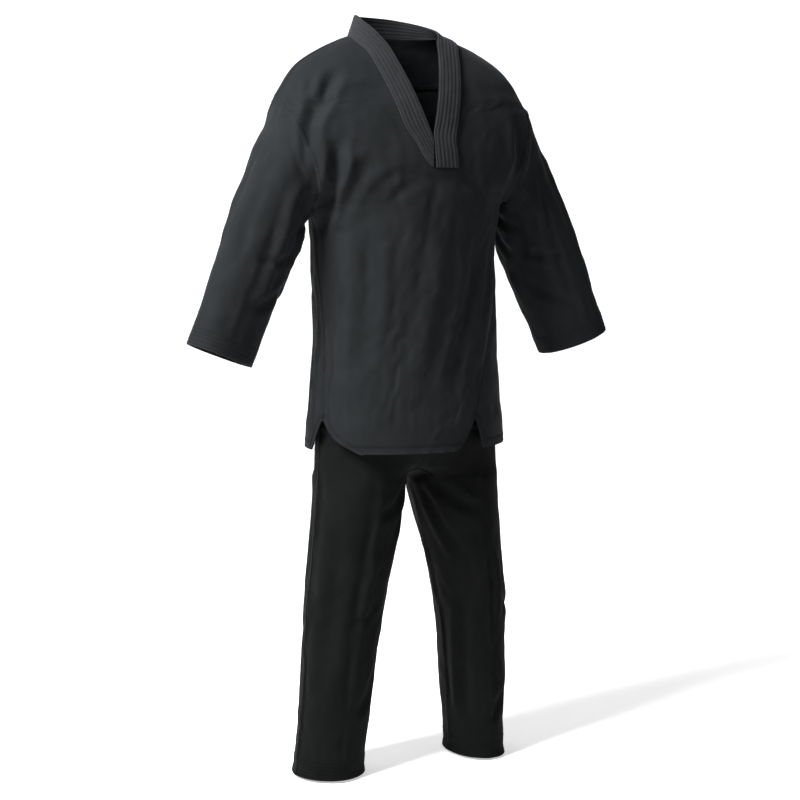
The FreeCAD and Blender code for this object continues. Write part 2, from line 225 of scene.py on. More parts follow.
def jacket_grids():
    """The front's two halves, the back and both sleeves."""
    z, arm_row = trunk_rows()
    middle = centre_angle(z)
    edge_v = v_angle(z)
    left = edge_angle(z, LEFT_SEAM, LEFT_TAIL)
    right = edge_angle(z, RIGHT_SEAM, RIGHT_TAIL)
    above = z >= ARM_LOW[1]
    back_left = np.where(above, 180 - side_angle(z), edge_angle(z, LEFT_SEAM, LEFT_BACK))
    back_right = np.where(above, 180 + side_angle(z), edge_angle(z, RIGHT_SEAM, RIGHT_BACK) + 360)
    grids = {
        "front_right": lerp_columns(z, right, middle - edge_v, HALF_COLUMNS),
        "front_left": lerp_columns(z, middle + edge_v, left, HALF_COLUMNS),
        "back": lerp_columns(z, back_left, back_right, BACK_COLUMNS),
    }
    rows = slice(arm_row, arm_row + ARM_ROWS + 1)
    for name, side, front, back in (
            ("right_sleeve", -1, grids["front_right"][rows, 0], grids["back"][rows, -1]),
            ("left_sleeve", 1, grids["front_left"][rows, -1], grids["back"][rows, 0])):
        loop = np.concatenate([front, back[-2:0:-1]])
        grids[name] = sleeve_grid(loop, side)
    return grids


def sleeve_ring(share, degrees, side):
    """Points of a sleeve at a share of its length and turns from its outside to its front."""
    x, y, z, wide_x, wide_z, depth, turn = table_at(SLEEVE, share)
    wide = np.array([wide_x, 0, wide_z])
    length = np.linalg.norm(wide)
    square = wide / length
    front = np.array([0, -1, 0])
    a = math.radians(turn)
    across = (square * math.cos(a) + front * math.sin(a)) * length
    deep = (front * math.cos(a) - square * math.sin(a)) * depth
    t = np.radians(degrees)[:, None]
    points = np.array([x, y, z]) + np.cos(t) * across + np.sin(t) * deep
    return points * np.array([side, 1, 1])


def sleeve_grid(loop, side):
    """Rings from the armhole's own loop of points to the cuff."""
    degrees = 360 * np.arange(len(loop)) / len(loop)
    first = sleeve_ring(0.0, degrees, side)
    rings = []
    for share in np.linspace(0, 1, SLEEVE_RINGS + 1):
        ring = sleeve_ring(share, degrees, side)
        rings.append(ring + (loop - first) * (1 - ease(share / 0.2)))
    grid = np.array(rings)
    return grid[:, ::-1] if side > 0 else grid


# Trousers as grids of points

def trouser_rows():
    top = np.linspace(-0.040, CROTCH_START, 19)[:-1]
    seat = np.linspace(CROTCH_START, CROTCH, 13)[:-1]
    leg = np.linspace(CROTCH, LEG_HEM, 42)
    return np.concatenate([top, seat, leg])


def leg_grid(leg, side):
    """Half the hips above the crotch and one whole leg below it, from front to back seam."""
    z = trouser_rows()[:, None]
    u = np.linspace(0, 1, LEG_COLUMNS + 1)[None, :]
    hips = table_at(HIPS, z)
    ring = table_at(leg, z)
    hip_x = (hips[..., 1] + side * hips[..., 0]) * np.sin(math.pi * u)
    hip_y = -hips[..., 2] * np.cos(math.pi * u)
    leg_x = ring[..., 0] - ring[..., 1] * np.cos(2 * math.pi * u)
    leg_y = -ring[..., 2] * np.sin(2 * math.pi * u)
    down = np.clip((CROTCH_START - z) / (CROTCH_START - CROTCH), 0, 1)
    hip_share = np.sqrt(np.clip(1 - down ** 2, 0, 1))
    x = hip_x * hip_share + leg_x * (1 - hip_share)
    y = hip_y * hip_share + leg_y * (1 - hip_share)
    x[:, 0] = np.where(z[:, 0] > CROTCH - 1e-6, 0, x[:, 0])
    x[:, -1] = np.where(z[:, 0] > CROTCH - 1e-6, 0, x[:, -1])
    grid = np.stack([x * side, y, z + 0 * u], axis=-1)
    return grid[:, ::-1] if side < 0 else grid


# Welding grids into one mesh

def weld(grids, closed=()):
    """One mesh from all grids: points, quads, and each grid's own map to the points."""
    points, quads, owner, maps = [], [], [], {}
    total = sum(g.shape[0] * g.shape[1] for g in grids.values())
    tree = KDTree(total)
    raw = np.concatenate([g.reshape(-1, 3) for g in grids.values()])
    for i, p in enumerate(raw):
        tree.insert(p, i)
    tree.balance()
    number = np.full(total, -1)
    for i, p in enumerate(raw):
        if number[i] >= 0:
            continue
        for _, j, _ in tree.find_range(p, 0.00008):
            if number[j] < 0:
                number[j] = len(points)
        points.append(p)
    first = 0
    for k, (name, g) in enumerate(grids.items()):
        rows, columns = g.shape[:2]
        index = number[first:first + rows * columns].reshape(rows, columns)
        first += rows * columns
        maps[name] = index
        wide = columns if name in closed else columns - 1
        for r in range(rows - 1):
            for c in range(wide):
                d = (c + 1) % columns
                corners = [index[r, c], index[r + 1, c], index[r + 1, d], index[r, d]]
                kept = [v for n, v in enumerate(corners) if v != corners[n - 1]]
                if len(set(kept)) >= 3 and len(kept) == len(set(kept)):
                    quads.append(kept)
                    owner.append((k, r, c))
    return np.array(points), quads, owner, maps


def make_mesh(name, points, faces):
    mesh = bpy.data.meshes.new(name)
    mesh.from_pydata([tuple(p) for p in points], [], [list(map(int, f)) for f in faces])
    mesh.update()
    return mesh


def make_object(name, mesh, material=None):
    obj = bpy.data.objects.new(name, mesh)
    bpy.context.scene.collection.objects.link(obj)
    if material is not None:
        mesh.materials.append(material)
    return obj


def read_points(mesh):
    co = np.empty(len(mesh.vertices) * 3)
    mesh.vertices.foreach_get("co", co)
    return co.reshape(-1, 3)


# Cloth simulation over a hidden body form

def form_mesh(name, rings):
    """A closed body form through rings of points."""
    rings = np.array(rings)
    rows, columns = rings.shape[:2]
    faces = []
    for r in range(rows - 1):
        for c in range(columns):
            d = (c + 1) % columns
            faces.append([r * columns + c, (r + 1) * columns + c,
                          (r + 1) * columns + d, r * columns + d])
    faces.append(list(range(columns))[::-1])
    faces.append([(rows - 1) * columns + c for c in range(columns)])
    obj = make_object(name, make_mesh(name, rings.reshape(-1, 3), faces))
    obj.modifiers.new("hit", "COLLISION")
    obj.collision.thickness_outer = 0.003
    obj.collision.cloth_friction = 12
    return obj


def shrink_rings(rings, inset):
    rings = np.array(rings)
    middle = rings.mean(axis=1, keepdims=True)
    out = rings - middle
    length = np.linalg.norm(out, axis=-1, keepdims=True)
    return middle + out * (1 - inset / length)


def settle(points, faces, weights, forms, frames, grow, cap):
    """Lets cloth fall and buckle for some frames, and returns where its points come to."""
    obj = make_object("cloth", make_mesh("cloth", points, faces))
    group = obj.vertex_groups.new(name="pin")
    for i, w in enumerate(weights):
        group.add([i], float(w), "REPLACE")
    modifier = obj.modifiers.new("cloth", "CLOTH")
    cloth = modifier.settings
    cloth.quality = 6
    cloth.mass = 0.12
    cloth.tension_stiffness = 12
    cloth.compression_stiffness = 12
    cloth.shear_stiffness = 4
    cloth.bending_stiffness = 0.35
    cloth.air_damping = 2
    cloth.vertex_group_mass = "pin"
    cloth.pin_stiffness = 1.0
    cloth.shrink_min = -grow
    modifier.collision_settings.distance_min = 0.003
    modifier.point_cache.frame_start = 1
    modifier.point_cache.frame_end = frames
    scene = bpy.context.scene
    for f in range(1, frames + 1):
        scene.frame_set(f)
    depsgraph = bpy.context.evaluated_depsgraph_get()
    moved = without_drift(read_points(obj.evaluated_get(depsgraph).data) - points, faces)
    moved *= np.clip(1.15 - weights ** 3, 0, 1)[:, None]
    length = np.linalg.norm(moved, axis=1, keepdims=True)
    moved *= np.minimum(1, cap / np.maximum(length, 1e-9))
    bpy.data.objects.remove(obj)
    for form in forms:
        bpy.data.objects.remove(form)
    scene.frame_set(1)
    return points + moved * DRAPE


def without_drift(moved, faces, rounds=30, kept=0.15):
    """Takes the slow drift out of how far cloth has moved, and leaves its folds."""
    pairs = np.array(sorted({(min(a, b), max(a, b)) for f in faces
                             for a, b in zip(f, list(f[1:]) + [f[0]])}))
    degree = np.bincount(pairs.ravel(), minlength=len(moved))[:, None]
    slow = moved.copy()
    for _ in range(rounds):
        total = np.zeros_like(slow)
        np.add.at(total, pairs[:, 0], slow[pairs[:, 1]])
        np.add.at(total, pairs[:, 1], slow[pairs[:, 0]])
        slow = 0.5 * slow + 0.5 * total / np.maximum(degree, 1)
    return moved - (1 - kept) * slow


# Finer mesh and thickness

def refine(points, faces, rest, levels=2):
    """Subdivides a welded mesh: fine points, quads, each quad's first face, and rest places."""
    mesh = make_mesh("fine", points, faces)
    mark = mesh.attributes.new("mark", "INT", "FACE")
    mark.data.foreach_set("value", np.arange(len(faces), dtype=np.int32))
    place = mesh.attributes.new("rest", "FLOAT_VECTOR", "POINT")
    place.data.foreach_set("vector", np.asarray(rest, np.float32).ravel())
    obj = make_object("fine", mesh)
    sub = obj.modifiers.new("sub", "SUBSURF")
    sub.levels = levels
    sub.boundary_smooth = "PRESERVE_CORNERS"
    done = obj.evaluated_get(bpy.context.evaluated_depsgraph_get()).to_mesh()
    fine = read_points(done)
    quads = np.empty(len(done.polygons) * 4, np.int32)
    done.polygons.foreach_get("vertices", quads)
    origin = np.empty(len(done.polygons), np.int32)
    done.attributes["mark"].data.foreach_get("value", origin)
    first = np.empty(len(fine) * 3, np.float32)
    done.attributes["rest"].data.foreach_get("vector", first)
    obj.to_mesh_clear()
    bpy.data.objects.remove(obj)
    return fine, quads.reshape(-1, 4), origin, first.reshape(-1, 3).astype(float)


def normals_of(points, quads):
    a, b, c, d = (points[quads[:, k]] for k in range(4))
    face = np.cross(c - a, d - b)
    total = np.zeros_like(points)
    for k in range(4):
        np.add.at(total, quads[:, k], face)
    return total / np.maximum(np.linalg.norm(total, axis=1, keepdims=True), 1e-12)


def flat_normals(points, quads):
    a, b, c, d = (points[quads[:, k]] for k in range(4))
    n = np.cross(c - a, d - b)
    n = n / np.maximum(np.linalg.norm(n, axis=1, keepdims=True), 1e-12)
    return np.repeat(n, 4, axis=0)


class Piece:
    """Gathers quads, with normals and texture places, into one named object."""

    def __init__(self, name):
        self.name = name
        self.parts = []
        self.count = 0

    def add(self, points, quads, normals=None, uv=None, worn=0.0):
        points = np.asarray(points, float)
        quads = np.asarray(quads, int)
        if normals is None:
            normals = flat_normals(points, quads)
        if uv is None:
            uv = points[:, [0, 2]]
        wear = np.broadcast_to(np.asarray(worn, float), len(points))
        self.parts.append((points, quads + self.count, normals, uv[quads.ravel()], wear))
        self.count += len(points)

    def add_sheet(self, points, quads, normals, thick, uv, worn=0.0):
        """A closed layer, its outside on the given points and its inside thick below them."""
        used, local = np.unique(quads, return_inverse=True)
        local = local.reshape(-1, 4)
        count = len(used)
        outer, out = points[used], normals[used]
        depth = np.broadcast_to(np.asarray(thick, float), len(points))[used][:, None]
        wear = np.broadcast_to(np.asarray(worn, float), len(points))[used]
        edges = set()
        for q in local.tolist():
            for k in range(4):
                a, b = q[k], q[(k + 1) % 4]
                if (b, a) in edges:
                    edges.remove((b, a))
                else:
                    edges.add((a, b))
        rim = np.array([[b, a, a + count, b + count] for a, b in edges]).reshape(-1, 4)
        every = np.concatenate([outer, outer - out * depth])
        faces = np.concatenate([local, local[:, ::-1] + count, rim])
        loop_normals = np.concatenate([out[local].reshape(-1, 3),
                                       -out[local[:, ::-1]].reshape(-1, 3),
                                       flat_normals(every, rim)])
        places = np.concatenate([uv[used], uv[used]])
        self.add(every, faces, loop_normals, places, np.concatenate([wear, wear]))

    def add_grid(self, grid, closed=False, uv=None, worn=0.0):
        """A smooth surface through rows and columns of points."""
        rows, columns = grid.shape[:2]
        index = np.arange(rows * columns).reshape(rows, columns)
        if closed:
            index = np.concatenate([index, index[:1]])
        quads = np.stack([index[:-1, :-1], index[:-1, 1:], index[1:, 1:], index[1:, :-1]],
                         axis=-1).reshape(-1, 4)
        points = grid.reshape(-1, 3)
        normals = normals_of(points, quads)
        self.add(points, quads, normals[quads].reshape(-1, 3), uv, worn)

    def build(self, material):
        points = np.concatenate([p[0] for p in self.parts])
        quads = np.concatenate([p[1] for p in self.parts]).astype(np.int32)
        normals = np.concatenate([p[2] for p in self.parts])
        uv = np.concatenate([p[3] for p in self.parts])
        worn = np.concatenate([p[4] for p in self.parts])
        points, first, same = np.unique(points.round(7), axis=0, return_index=True,
                                        return_inverse=True)
        quads = same.reshape(-1)[quads].astype(np.int32)
        whole = (np.diff(np.sort(quads, axis=1), axis=1) > 0).all(axis=1)
        quads, worn = quads[whole], worn[first]
        normals = normals.reshape(-1, 4, 3)[whole].reshape(-1, 3)
        uv = uv.reshape(-1, 4, 2)[whole].reshape(-1, 2)
        mesh = bpy.data.meshes.new(self.name)
        mesh.vertices.add(len(points))
        mesh.vertices.foreach_set("co", points.ravel())
        mesh.loops.add(len(quads) * 4)
        mesh.loops.foreach_set("vertex_index", quads.ravel())
        mesh.polygons.add(len(quads))
        mesh.polygons.foreach_set("loop_start", np.arange(len(quads), dtype=np.int32) * 4)
        mesh.update(calc_edges=True)
        mesh.polygons.foreach_set("use_smooth", np.ones(len(quads), bool))
        layer = mesh.uv_layers.new(name="cloth")
        layer.data.foreach_set("uv", uv.ravel())
        wear = mesh.attributes.new("worn", "FLOAT", "POINT")
        wear.data.foreach_set("value", worn.astype(np.float32))
        mesh.normals_split_custom_set([tuple(n) for n in normals])
        return make_object(self.name, mesh, material)


class Skin:
    """A fine cloth surface that seams, hems and stitches are laid on."""

    def __init__(self, points, quads, normals):
        self.points, self.quads, self.normals = points, quads, normals
        self.tree = BVHTree.FromPolygons([tuple(p) for p in points], quads.tolist())

    def lay(self, path, lift=0.0):
        """The nearest places on the surface and their normals, raised by lift."""
        places, normals = [], []
        for p in np.asarray(path).reshape(-1, 3):
            spot, _, face, _ = self.tree.find_nearest(Vector(p))
            corners = self.quads[face]
            away = np.linalg.norm(self.points[corners] - np.array(spot), axis=1) + 1e-6
            n = (self.normals[corners] / away[:, None]).sum(axis=0)
            n /= np.linalg.norm(n)
            places.append(np.array(spot) + n * lift)
            normals.append(n)
        return np.array(places), np.array(normals)


def even_path(points, step):
    """A smooth curve through points, in even steps."""
    points = np.asarray(points, float)
    gap = np.linalg.norm(np.diff(points, axis=0), axis=1)
    keep = np.concatenate([[True], gap > 1e-6])
    points = points[keep]
    along = np.concatenate([[0], np.cumsum(np.linalg.norm(np.diff(points, axis=0), axis=1))])
    count = max(2, int(round(along[-1] / step)) + 1)
    return smooth_at(along, points, np.linspace(0, along[-1], count))


def smooth_at(x, y, key):
    return table_at(np.column_stack([x, y]), key)


def across_of(path, normals):
    along = np.gradient(path, axis=0)
    side = np.cross(normals, along)
    return side / np.maximum(np.linalg.norm(side, axis=1, keepdims=True), 1e-12)


def ribbon(piece, skin, path, width, height, offset=0.0, step=0.004):
    """A flat raised strip along a path, such as a felled seam or a turned hem."""
    path = even_path(path, step)
    path, normals = skin.lay(path)
    side = across_of(path, normals)
    half = width / 2
    columns = []
    for place, lift in ((-half, -0.0004), (-half + 0.0004, height * 0.9), (0, height),
                        (half - 0.0004, height * 0.9), (half, -0.0004)):
        spot, n = skin.lay(path + side * (place + offset))
        columns.append(spot + n * lift)
    grid = np.stack(columns + columns[:1])
    length = np.concatenate([[0], np.cumsum(np.linalg.norm(np.diff(path, axis=0), axis=1))])
    uv = np.stack(np.broadcast_arrays(length, np.linspace(0, width, 6)[:, None]), axis=-1)
    piece.add_grid(grid, uv=uv.reshape(-1, 2), worn=0.25)


def stitches(piece, skin, path, offset=0.0, lift=0.0004, pitch=0.0036, length=0.0025,
             width=0.0006):
    """One row of sewn thread, as a bar for every stitch."""
    path = even_path(path, pitch)
    path, normals = skin.lay(path)
    side = across_of(path, normals)
    if offset:
        path, normals = skin.lay(path + side * offset)
        side = across_of(path, normals)
    thread_bars(piece, path + normals * lift, normals, side, length, width)


def thread_bars(piece, path, normals, side, length, width):
    middle = (path[1:] + path[:-1]) / 2
    along = path[1:] - path[:-1]
    along /= np.maximum(np.linalg.norm(along, axis=1, keepdims=True), 1e-9)
    n, s = normals[1:], side[1:]
    corners = []
    for up, half, wide in ((-0.5, 0.5, 0.5), (0.55, 0.36, 0.3)):
        for a, b in ((-1, -1), (1, -1), (1, 1), (-1, 1)):
            corners.append(middle + along * (a * half * length) + s * (b * wide * width)
                           + n * (up * width))
    points = np.stack(corners, axis=1).reshape(-1, 3)
    box = np.array([[4, 5, 6, 7], [0, 1, 5, 4], [1, 2, 6, 5], [2, 3, 7, 6], [3, 0, 4, 7],
                    [3, 2, 1, 0]])
    quads = (np.arange(len(middle))[:, None, None] * 8 + box[None]).reshape(-1, 4)
    piece.add(points, quads, worn=0.6)


def on_grid(points, index, rows, columns):
    """Places on a grid of cloth at fractions of rows and columns."""
    rows, columns = np.broadcast_arrays(np.asarray(rows, float), np.asarray(columns, float))
    rows = np.clip(rows, 0, index.shape[0] - 1.0001)
    columns = np.clip(columns, 0, index.shape[1] - 1.0001)
    i, j = rows.astype(int), columns.astype(int)
    a, b = (rows - i)[:, None], (columns - j)[:, None]
    high = points[index[i, j]] * (1 - b) + points[index[i, j + 1]] * b
    low = points[index[i + 1, j]] * (1 - b) + points[index[i + 1, j + 1]] * b
    return high * (1 - a) + low * a


# Materials

def fill(target, inputs):
    """Gives a node's inputs their values, or links them where the value is an output."""
    for key, value in inputs.items():
        if isinstance(value, bpy.types.NodeSocket):
            target.id_data.links.new(value, target.inputs[key])
        else:
            target.inputs[key].default_value = value


def node(tree, kind, inputs, **settings):
    made = tree.nodes.new("ShaderNode" + kind)
    for key, value in settings.items():
        setattr(made, key, value)
    fill(made, inputs)
    return made.outputs


def new_material(name):
    """A material, its node tree and its main shader."""
    mat = bpy.data.materials.new(name)
    mat.use_nodes = True
    return mat, mat.node_tree, mat.node_tree.nodes["Principled BSDF"]


def cotton(name, colour, faded, rough=0.82, sheen=0.03, shine=0.10, rib=0.9, crumple=0.0012):
    """Twill: fine diagonal ribs, cloudy dye, rubbed edges and soft crumples."""
    mat, tree, shader = new_material(name)
    place = node(tree, "UVMap", {}, uv_map="cloth")[0]
    worn = node(tree, "Attribute", {}, attribute_name="worn")["Fac"]
    in_mm = node(tree, "VectorMath", {0: place, "Scale": 1000}, operation="SCALE")[0]
    ribs = node(tree, "TexWave", {
        "Vector": in_mm, "Scale": 0.2 * math.pi / rib, "Distortion": 0.6, "Detail": 1,
    }, bands_direction="DIAGONAL")["Fac"]
    yarn = node(tree, "TexNoise", {"Vector": in_mm, "Scale": 1.4, "Detail": 3})[0]
    cloud = node(tree, "TexNoise", {
        "Vector": place, "Scale": 14, "Detail": 5, "Roughness": 0.6})[0]
    crease = node(tree, "TexNoise", {
        "Vector": place, "Scale": 46, "Detail": 4, "Distortion": 0.8})[0]

    tone = node(tree, "MapRange", {
        "Value": cloud, "From Min": 0.3, "From Max": 0.7, "To Min": 0.0, "To Max": 0.55})[0]
    rub = node(tree, "Math", {0: worn, 1: yarn}, operation="MULTIPLY")[0]
    both = node(tree, "Math", {0: tone, 1: rub}, operation="ADD", use_clamp=True)[0]
    dye = node(tree, "Mix", {0: both, 6: (*colour, 1), 7: (*faded, 1)}, data_type="RGBA")[2]
    weave = node(tree, "MapRange", {"Value": ribs, "To Min": 0.72, "To Max": 1.12})[0]
    soft = node(tree, "Bump", {"Height": crease, "Strength": 0.6, "Distance": crumple})[0]
    fill(shader, {
        "Base Color": node(tree, "VectorMath", {0: dye, "Scale": weave}, operation="SCALE")[0],
        "Roughness": node(tree, "MapRange", {
            "Value": yarn, "To Min": rough - 0.08, "To Max": rough + 0.08})[0],
        "Normal": node(tree, "Bump", {
            "Height": ribs, "Normal": soft, "Strength": 0.5, "Distance": 0.00012})[0],
        "Specular IOR Level": shine,
        "Sheen Weight": sheen,
        "Sheen Roughness": 0.45,
        "Sheen Tint": (0.75, 0.78, 0.85, 1),
    })
    return mat


def lacquer():
    """Black lacquered eyelet, satin, with fine turning marks and handling wear."""
    mat, tree, shader = new_material("eyelet_lacquer")
    place = node(tree, "TexCoord", {})["Object"]
    rub = node(tree, "TexNoise", {"Vector": place, "Scale": 900})[0]
    fill(shader, {
        "Base Color": node(tree, "Mix", {
            0: rub, 6: (0.012, 0.012, 0.013, 1), 7: (0.05, 0.05, 0.052, 1),
        }, data_type="RGBA")[2],
        "Roughness": node(tree, "MapRange", {"Value": rub, "To Min": 0.28, "To Max": 0.46})[0],
        "Normal": node(tree, "Bump", {"Height": rub, "Strength": 0.2, "Distance": 0.0001})[0],
        "Coat Weight": 0.4,
    })
    return mat


JACKET = cotton("jacket_cotton", (0.0042, 0.0050, 0.0056), (0.0088, 0.0098, 0.0108), sheen=0.02,
                shine=0.07)
BAND = cotton("band_cotton", (0.0070, 0.0076, 0.0085), (0.016, 0.0165, 0.018), rib=0.7,
              crumple=0.0004)
TROUSER = cotton("trouser_cotton", (0.0018, 0.0021, 0.0020), (0.0038, 0.0042, 0.0040), sheen=0.008,
                 shine=0.04)
TAPE = cotton("seam_tape", (0.007, 0.007, 0.008), (0.014, 0.014, 0.015), rib=0.5, crumple=0.0002)
RUBBER = cotton("braided_elastic", (0.02, 0.02, 0.02), (0.05, 0.05, 0.05), rib=2.0, crumple=0.0002)
METAL = lacquer()


# Folds that the cloth has from how it hangs and how it was stored

def chest_place(x, z, back=False):
    half, middle, depth = table_at(TRUNK, z)
    reach = depth * math.sqrt(max(0.0, 1 - (x / half) ** 2))
    return np.array([x, middle + (reach if back else -reach), z])


def press_fold(points, normals, rest, line, width, depth):
    """Moves cloth along its normals by depth near a line of rest places; negative is inwards."""
    line = even_path(line, 0.006)
    low, high = line.min(axis=0) - 3 * width, line.max(axis=0) + 3 * width
    near = np.where(((rest > low) & (rest < high)).all(axis=1))[0]
    if not len(near):
        return
    away = np.linalg.norm(rest[near, None] - line[None], axis=2)
    best = away.argmin(axis=1)
    gap = away[np.arange(len(near)), best] / width
    share = best / (len(line) - 1)
    fade = np.clip(np.minimum(share, 1 - share) / 0.3, 0, 1)
    shape = np.exp(-gap ** 2) - 0.45 * np.exp(-((gap - 1.7) / 0.8) ** 2)
    points[near] += normals[near] * (depth * shape * ease(fade))[:, None]


def noise_at(places, scale, seed):
    shift = Vector((seed * 7.3, seed * 3.1, seed * 5.7))
    return np.array([noise.noise(Vector(p) * scale + shift) for p in places.tolist()])


CHEST_FOLDS = [
    # right shoulder, down along the armhole
    ([(-0.150, 0.335), (-0.195, 0.270), (-0.222, 0.215), (-0.222, 0.165)], 0.013, -0.009),
    ([(-0.200, 0.315), (-0.213, 0.270), (-0.222, 0.235)], 0.010, -0.004),
    # left armhole
    ([(0.205, 0.262), (0.205, 0.190), (0.190, 0.100), (0.176, -0.010)], 0.015, -0.008),
    # deep gaps between the chest and the sleeves
    ([(-0.178, 0.215), (-0.180, 0.160), (-0.182, 0.090), (-0.182, 0.020)], 0.013, -0.012),
    ([(0.185, 0.170), (0.180, 0.110), (0.176, 0.040)], 0.013, -0.007),
    # drag lines from the end of the band
    ([(-0.015, 0.146), (-0.065, 0.138), (-0.118, 0.122)], 0.010, -0.002),
    ([(-0.015, 0.138), (-0.060, 0.115), (-0.098, 0.082)], 0.012, -0.002),
    ([(0.045, 0.145), (0.085, 0.120), (0.115, 0.080)], 0.012, -0.002),
    ([(-0.100, 0.180), (-0.150, 0.120), (-0.170, 0.050)], 0.014, -0.004),
    # long soft folds down to the hem
    ([(-0.120, 0.060), (-0.125, -0.080), (-0.140, -0.250)], 0.018, -0.005),
    ([(0.020, 0.080), (-0.010, -0.100), (-0.060, -0.290)], 0.020, 0.0045),
    ([(0.110, 0.050), (0.070, -0.110), (0.020, -0.290)], 0.018, -0.0055),
    ([(0.155, 0.020), (0.130, -0.100), (0.090, -0.240)], 0.014, 0.004),
]
BACK_FOLDS = [
    ([(-0.120, 0.240), (-0.100, 0.100), (-0.090, -0.150)], 0.020, -0.006),
    ([(0.120, 0.240), (0.095, 0.080), (0.070, -0.180)], 0.020, -0.006),
    ([(0.000, 0.150), (0.010, -0.100), (0.000, -0.340)], 0.024, 0.005),
    ([(-0.150, 0.020), (-0.140, -0.150), (-0.120, -0.330)], 0.016, 0.005),
    ([(0.150, 0.020), (0.140, -0.150), (0.120, -0.330)], 0.016, 0.005),
]
# Share of the way to the cuff and turn round the sleeve, in degrees from its outside to its front
SLEEVE_FOLDS = [
    ([(0.06, 95), (0.30, 88), (0.62, 84), (0.80, 80)], 0.013, 0.006),
    ([(0.10, 135), (0.30, 125), (0.52, 118)], 0.012, -0.006),
    ([(0.12, 172), (0.24, 150), (0.34, 120)], 0.009, -0.005),
    ([(0.18, 185), (0.34, 165), (0.46, 135)], 0.009, -0.0045),
    ([(0.44, 120), (0.50, 90), (0.53, 50)], 0.009, -0.0035),
    ([(0.58, 130), (0.70, 100), (0.78, 60)], 0.010, -0.003),
    ([(0.10, 20), (0.35, 10), (0.60, 12)], 0.014, 0.004),
    ([(0.12, 250), (0.40, 255), (0.75, 250)], 0.014, -0.005),
]
# Height and turn round the leg, in degrees from the inside to the front
RIGHT_LEG_FOLDS = [
    ([(-0.400, 92), (-0.520, 88), (-0.700, 86), (-0.900, 84)], 0.013, 0.0045),
    ([(-0.425, 25), (-0.470, 60), (-0.500, 100)], 0.012, -0.005),
    ([(-0.430, 15), (-0.500, 40), (-0.560, 62)], 0.011, -0.0045),
    ([(-0.640, 60), (-0.690, 90), (-0.700, 130)], 0.010, -0.003),
    ([(-0.760, 30), (-0.840, 60), (-0.880, 100)], 0.012, -0.0035),
    ([(-0.480, 140), (-0.650, 135), (-0.850, 140)], 0.016, -0.0045),
    ([(-0.450, 265), (-0.650, 270), (-0.900, 275)], 0.016, 0.005),
]
LEFT_LEG_FOLDS = [
    ([(-0.640, 50), (-0.740, 42), (-0.890, 40), (-0.930, 70)], 0.012, -0.007),
    ([(-0.560, 110), (-0.660, 112), (-0.740, 108)], 0.011, 0.005),
    ([(-0.850, 125), (-0.900, 100), (-0.930, 75)], 0.010, -0.004),
    ([(-0.425, 25), (-0.470, 60), (-0.500, 100)], 0.012, -0.005),
    ([(-0.430, 15), (-0.520, 35), (-0.600, 60)], 0.011, -0.005),
    ([(-0.660, 130), (-0.700, 150), (-0.720, 175)], 0.010, -0.0035),
    ([(-0.760, 90), (-0.820, 100), (-0.860, 130)], 0.011, -0.003),
    ([(-0.450, 265), (-0.650, 270), (-0.900, 275)], 0.016, 0.005),
]


# Jacket

def sleeve_place(share, turn, side):
    return sleeve_ring(share, np.array([turn]), side)[0]


def body_form():
    """The hidden body inside the jacket: one closed trunk and two arms."""
    forms = []
    rings = []
    for z in np.concatenate([np.linspace(-0.372, 0.060, 14), np.linspace(0.080, 0.385, 14)]):
        ring = trunk_points(np.full(48, z), np.arange(48) * 7.5)
        limit = ARM_LOW[0] + (z - ARM_LOW[1]) * 0.44 - 0.012
        if ARM_LOW[1] < z < ARM_TOP[1]:
            ring[:, 0] = np.clip(ring[:, 0], -limit, limit)
        rings.append(ring)
    forms.append(form_mesh("trunk_form", shrink_rings(rings, BODY_INSET)))
    for side in (-1, 1):
        rings = [[sleeve_place(s, t, side) for t in np.arange(24) * 15]
                 for s in np.linspace(0.02, 1.0, 14)]
        if side < 0:
            rings = [r[::-1] for r in rings]
        forms.append(form_mesh("arm_form", shrink_rings(rings, BODY_INSET)))
    return forms


def jacket_pins(rest, maps):
    """How firmly each point is held: fully round the neck and bands, softly elsewhere."""
    x, z = np.abs(rest[:, 0]), rest[:, 2]
    to_band = x - V_SLOPE * np.clip(z - V_LOW, 0, 1)
    front = rest[:, 1] < 0.02
    hold = np.full(len(rest), 0.45)
    by_band = 1.05 - np.clip(to_band - 0.05, 0, 1) / 0.05
    hold = np.where(front & (z > 0.13), np.maximum(hold, by_band), hold)
    hold = np.where(z > 0.30, np.maximum(hold, 0.8 + (z - 0.30) * 3), hold)
    hold = np.where(z < JACKET_HEM + 0.035, 0.9, np.where(z < VENT_TOP, 0.75, hold))
    for name in ("right_sleeve", "left_sleeve"):
        for k, held in enumerate((0.95, 0.9, 0.85, 0.7)):
            hold[maps[name][-1 - k]] = held
    return np.clip(hold, 0, 1)


def soft_cloth(grids, closed, forms_of, pins_of, frames, grow):
    points, faces, owner, maps = weld(grids, closed)
    pins = pins_of(points, maps)
    return settle(points, faces, pins, forms_of(), frames, grow, 0.015), points, faces, owner, maps


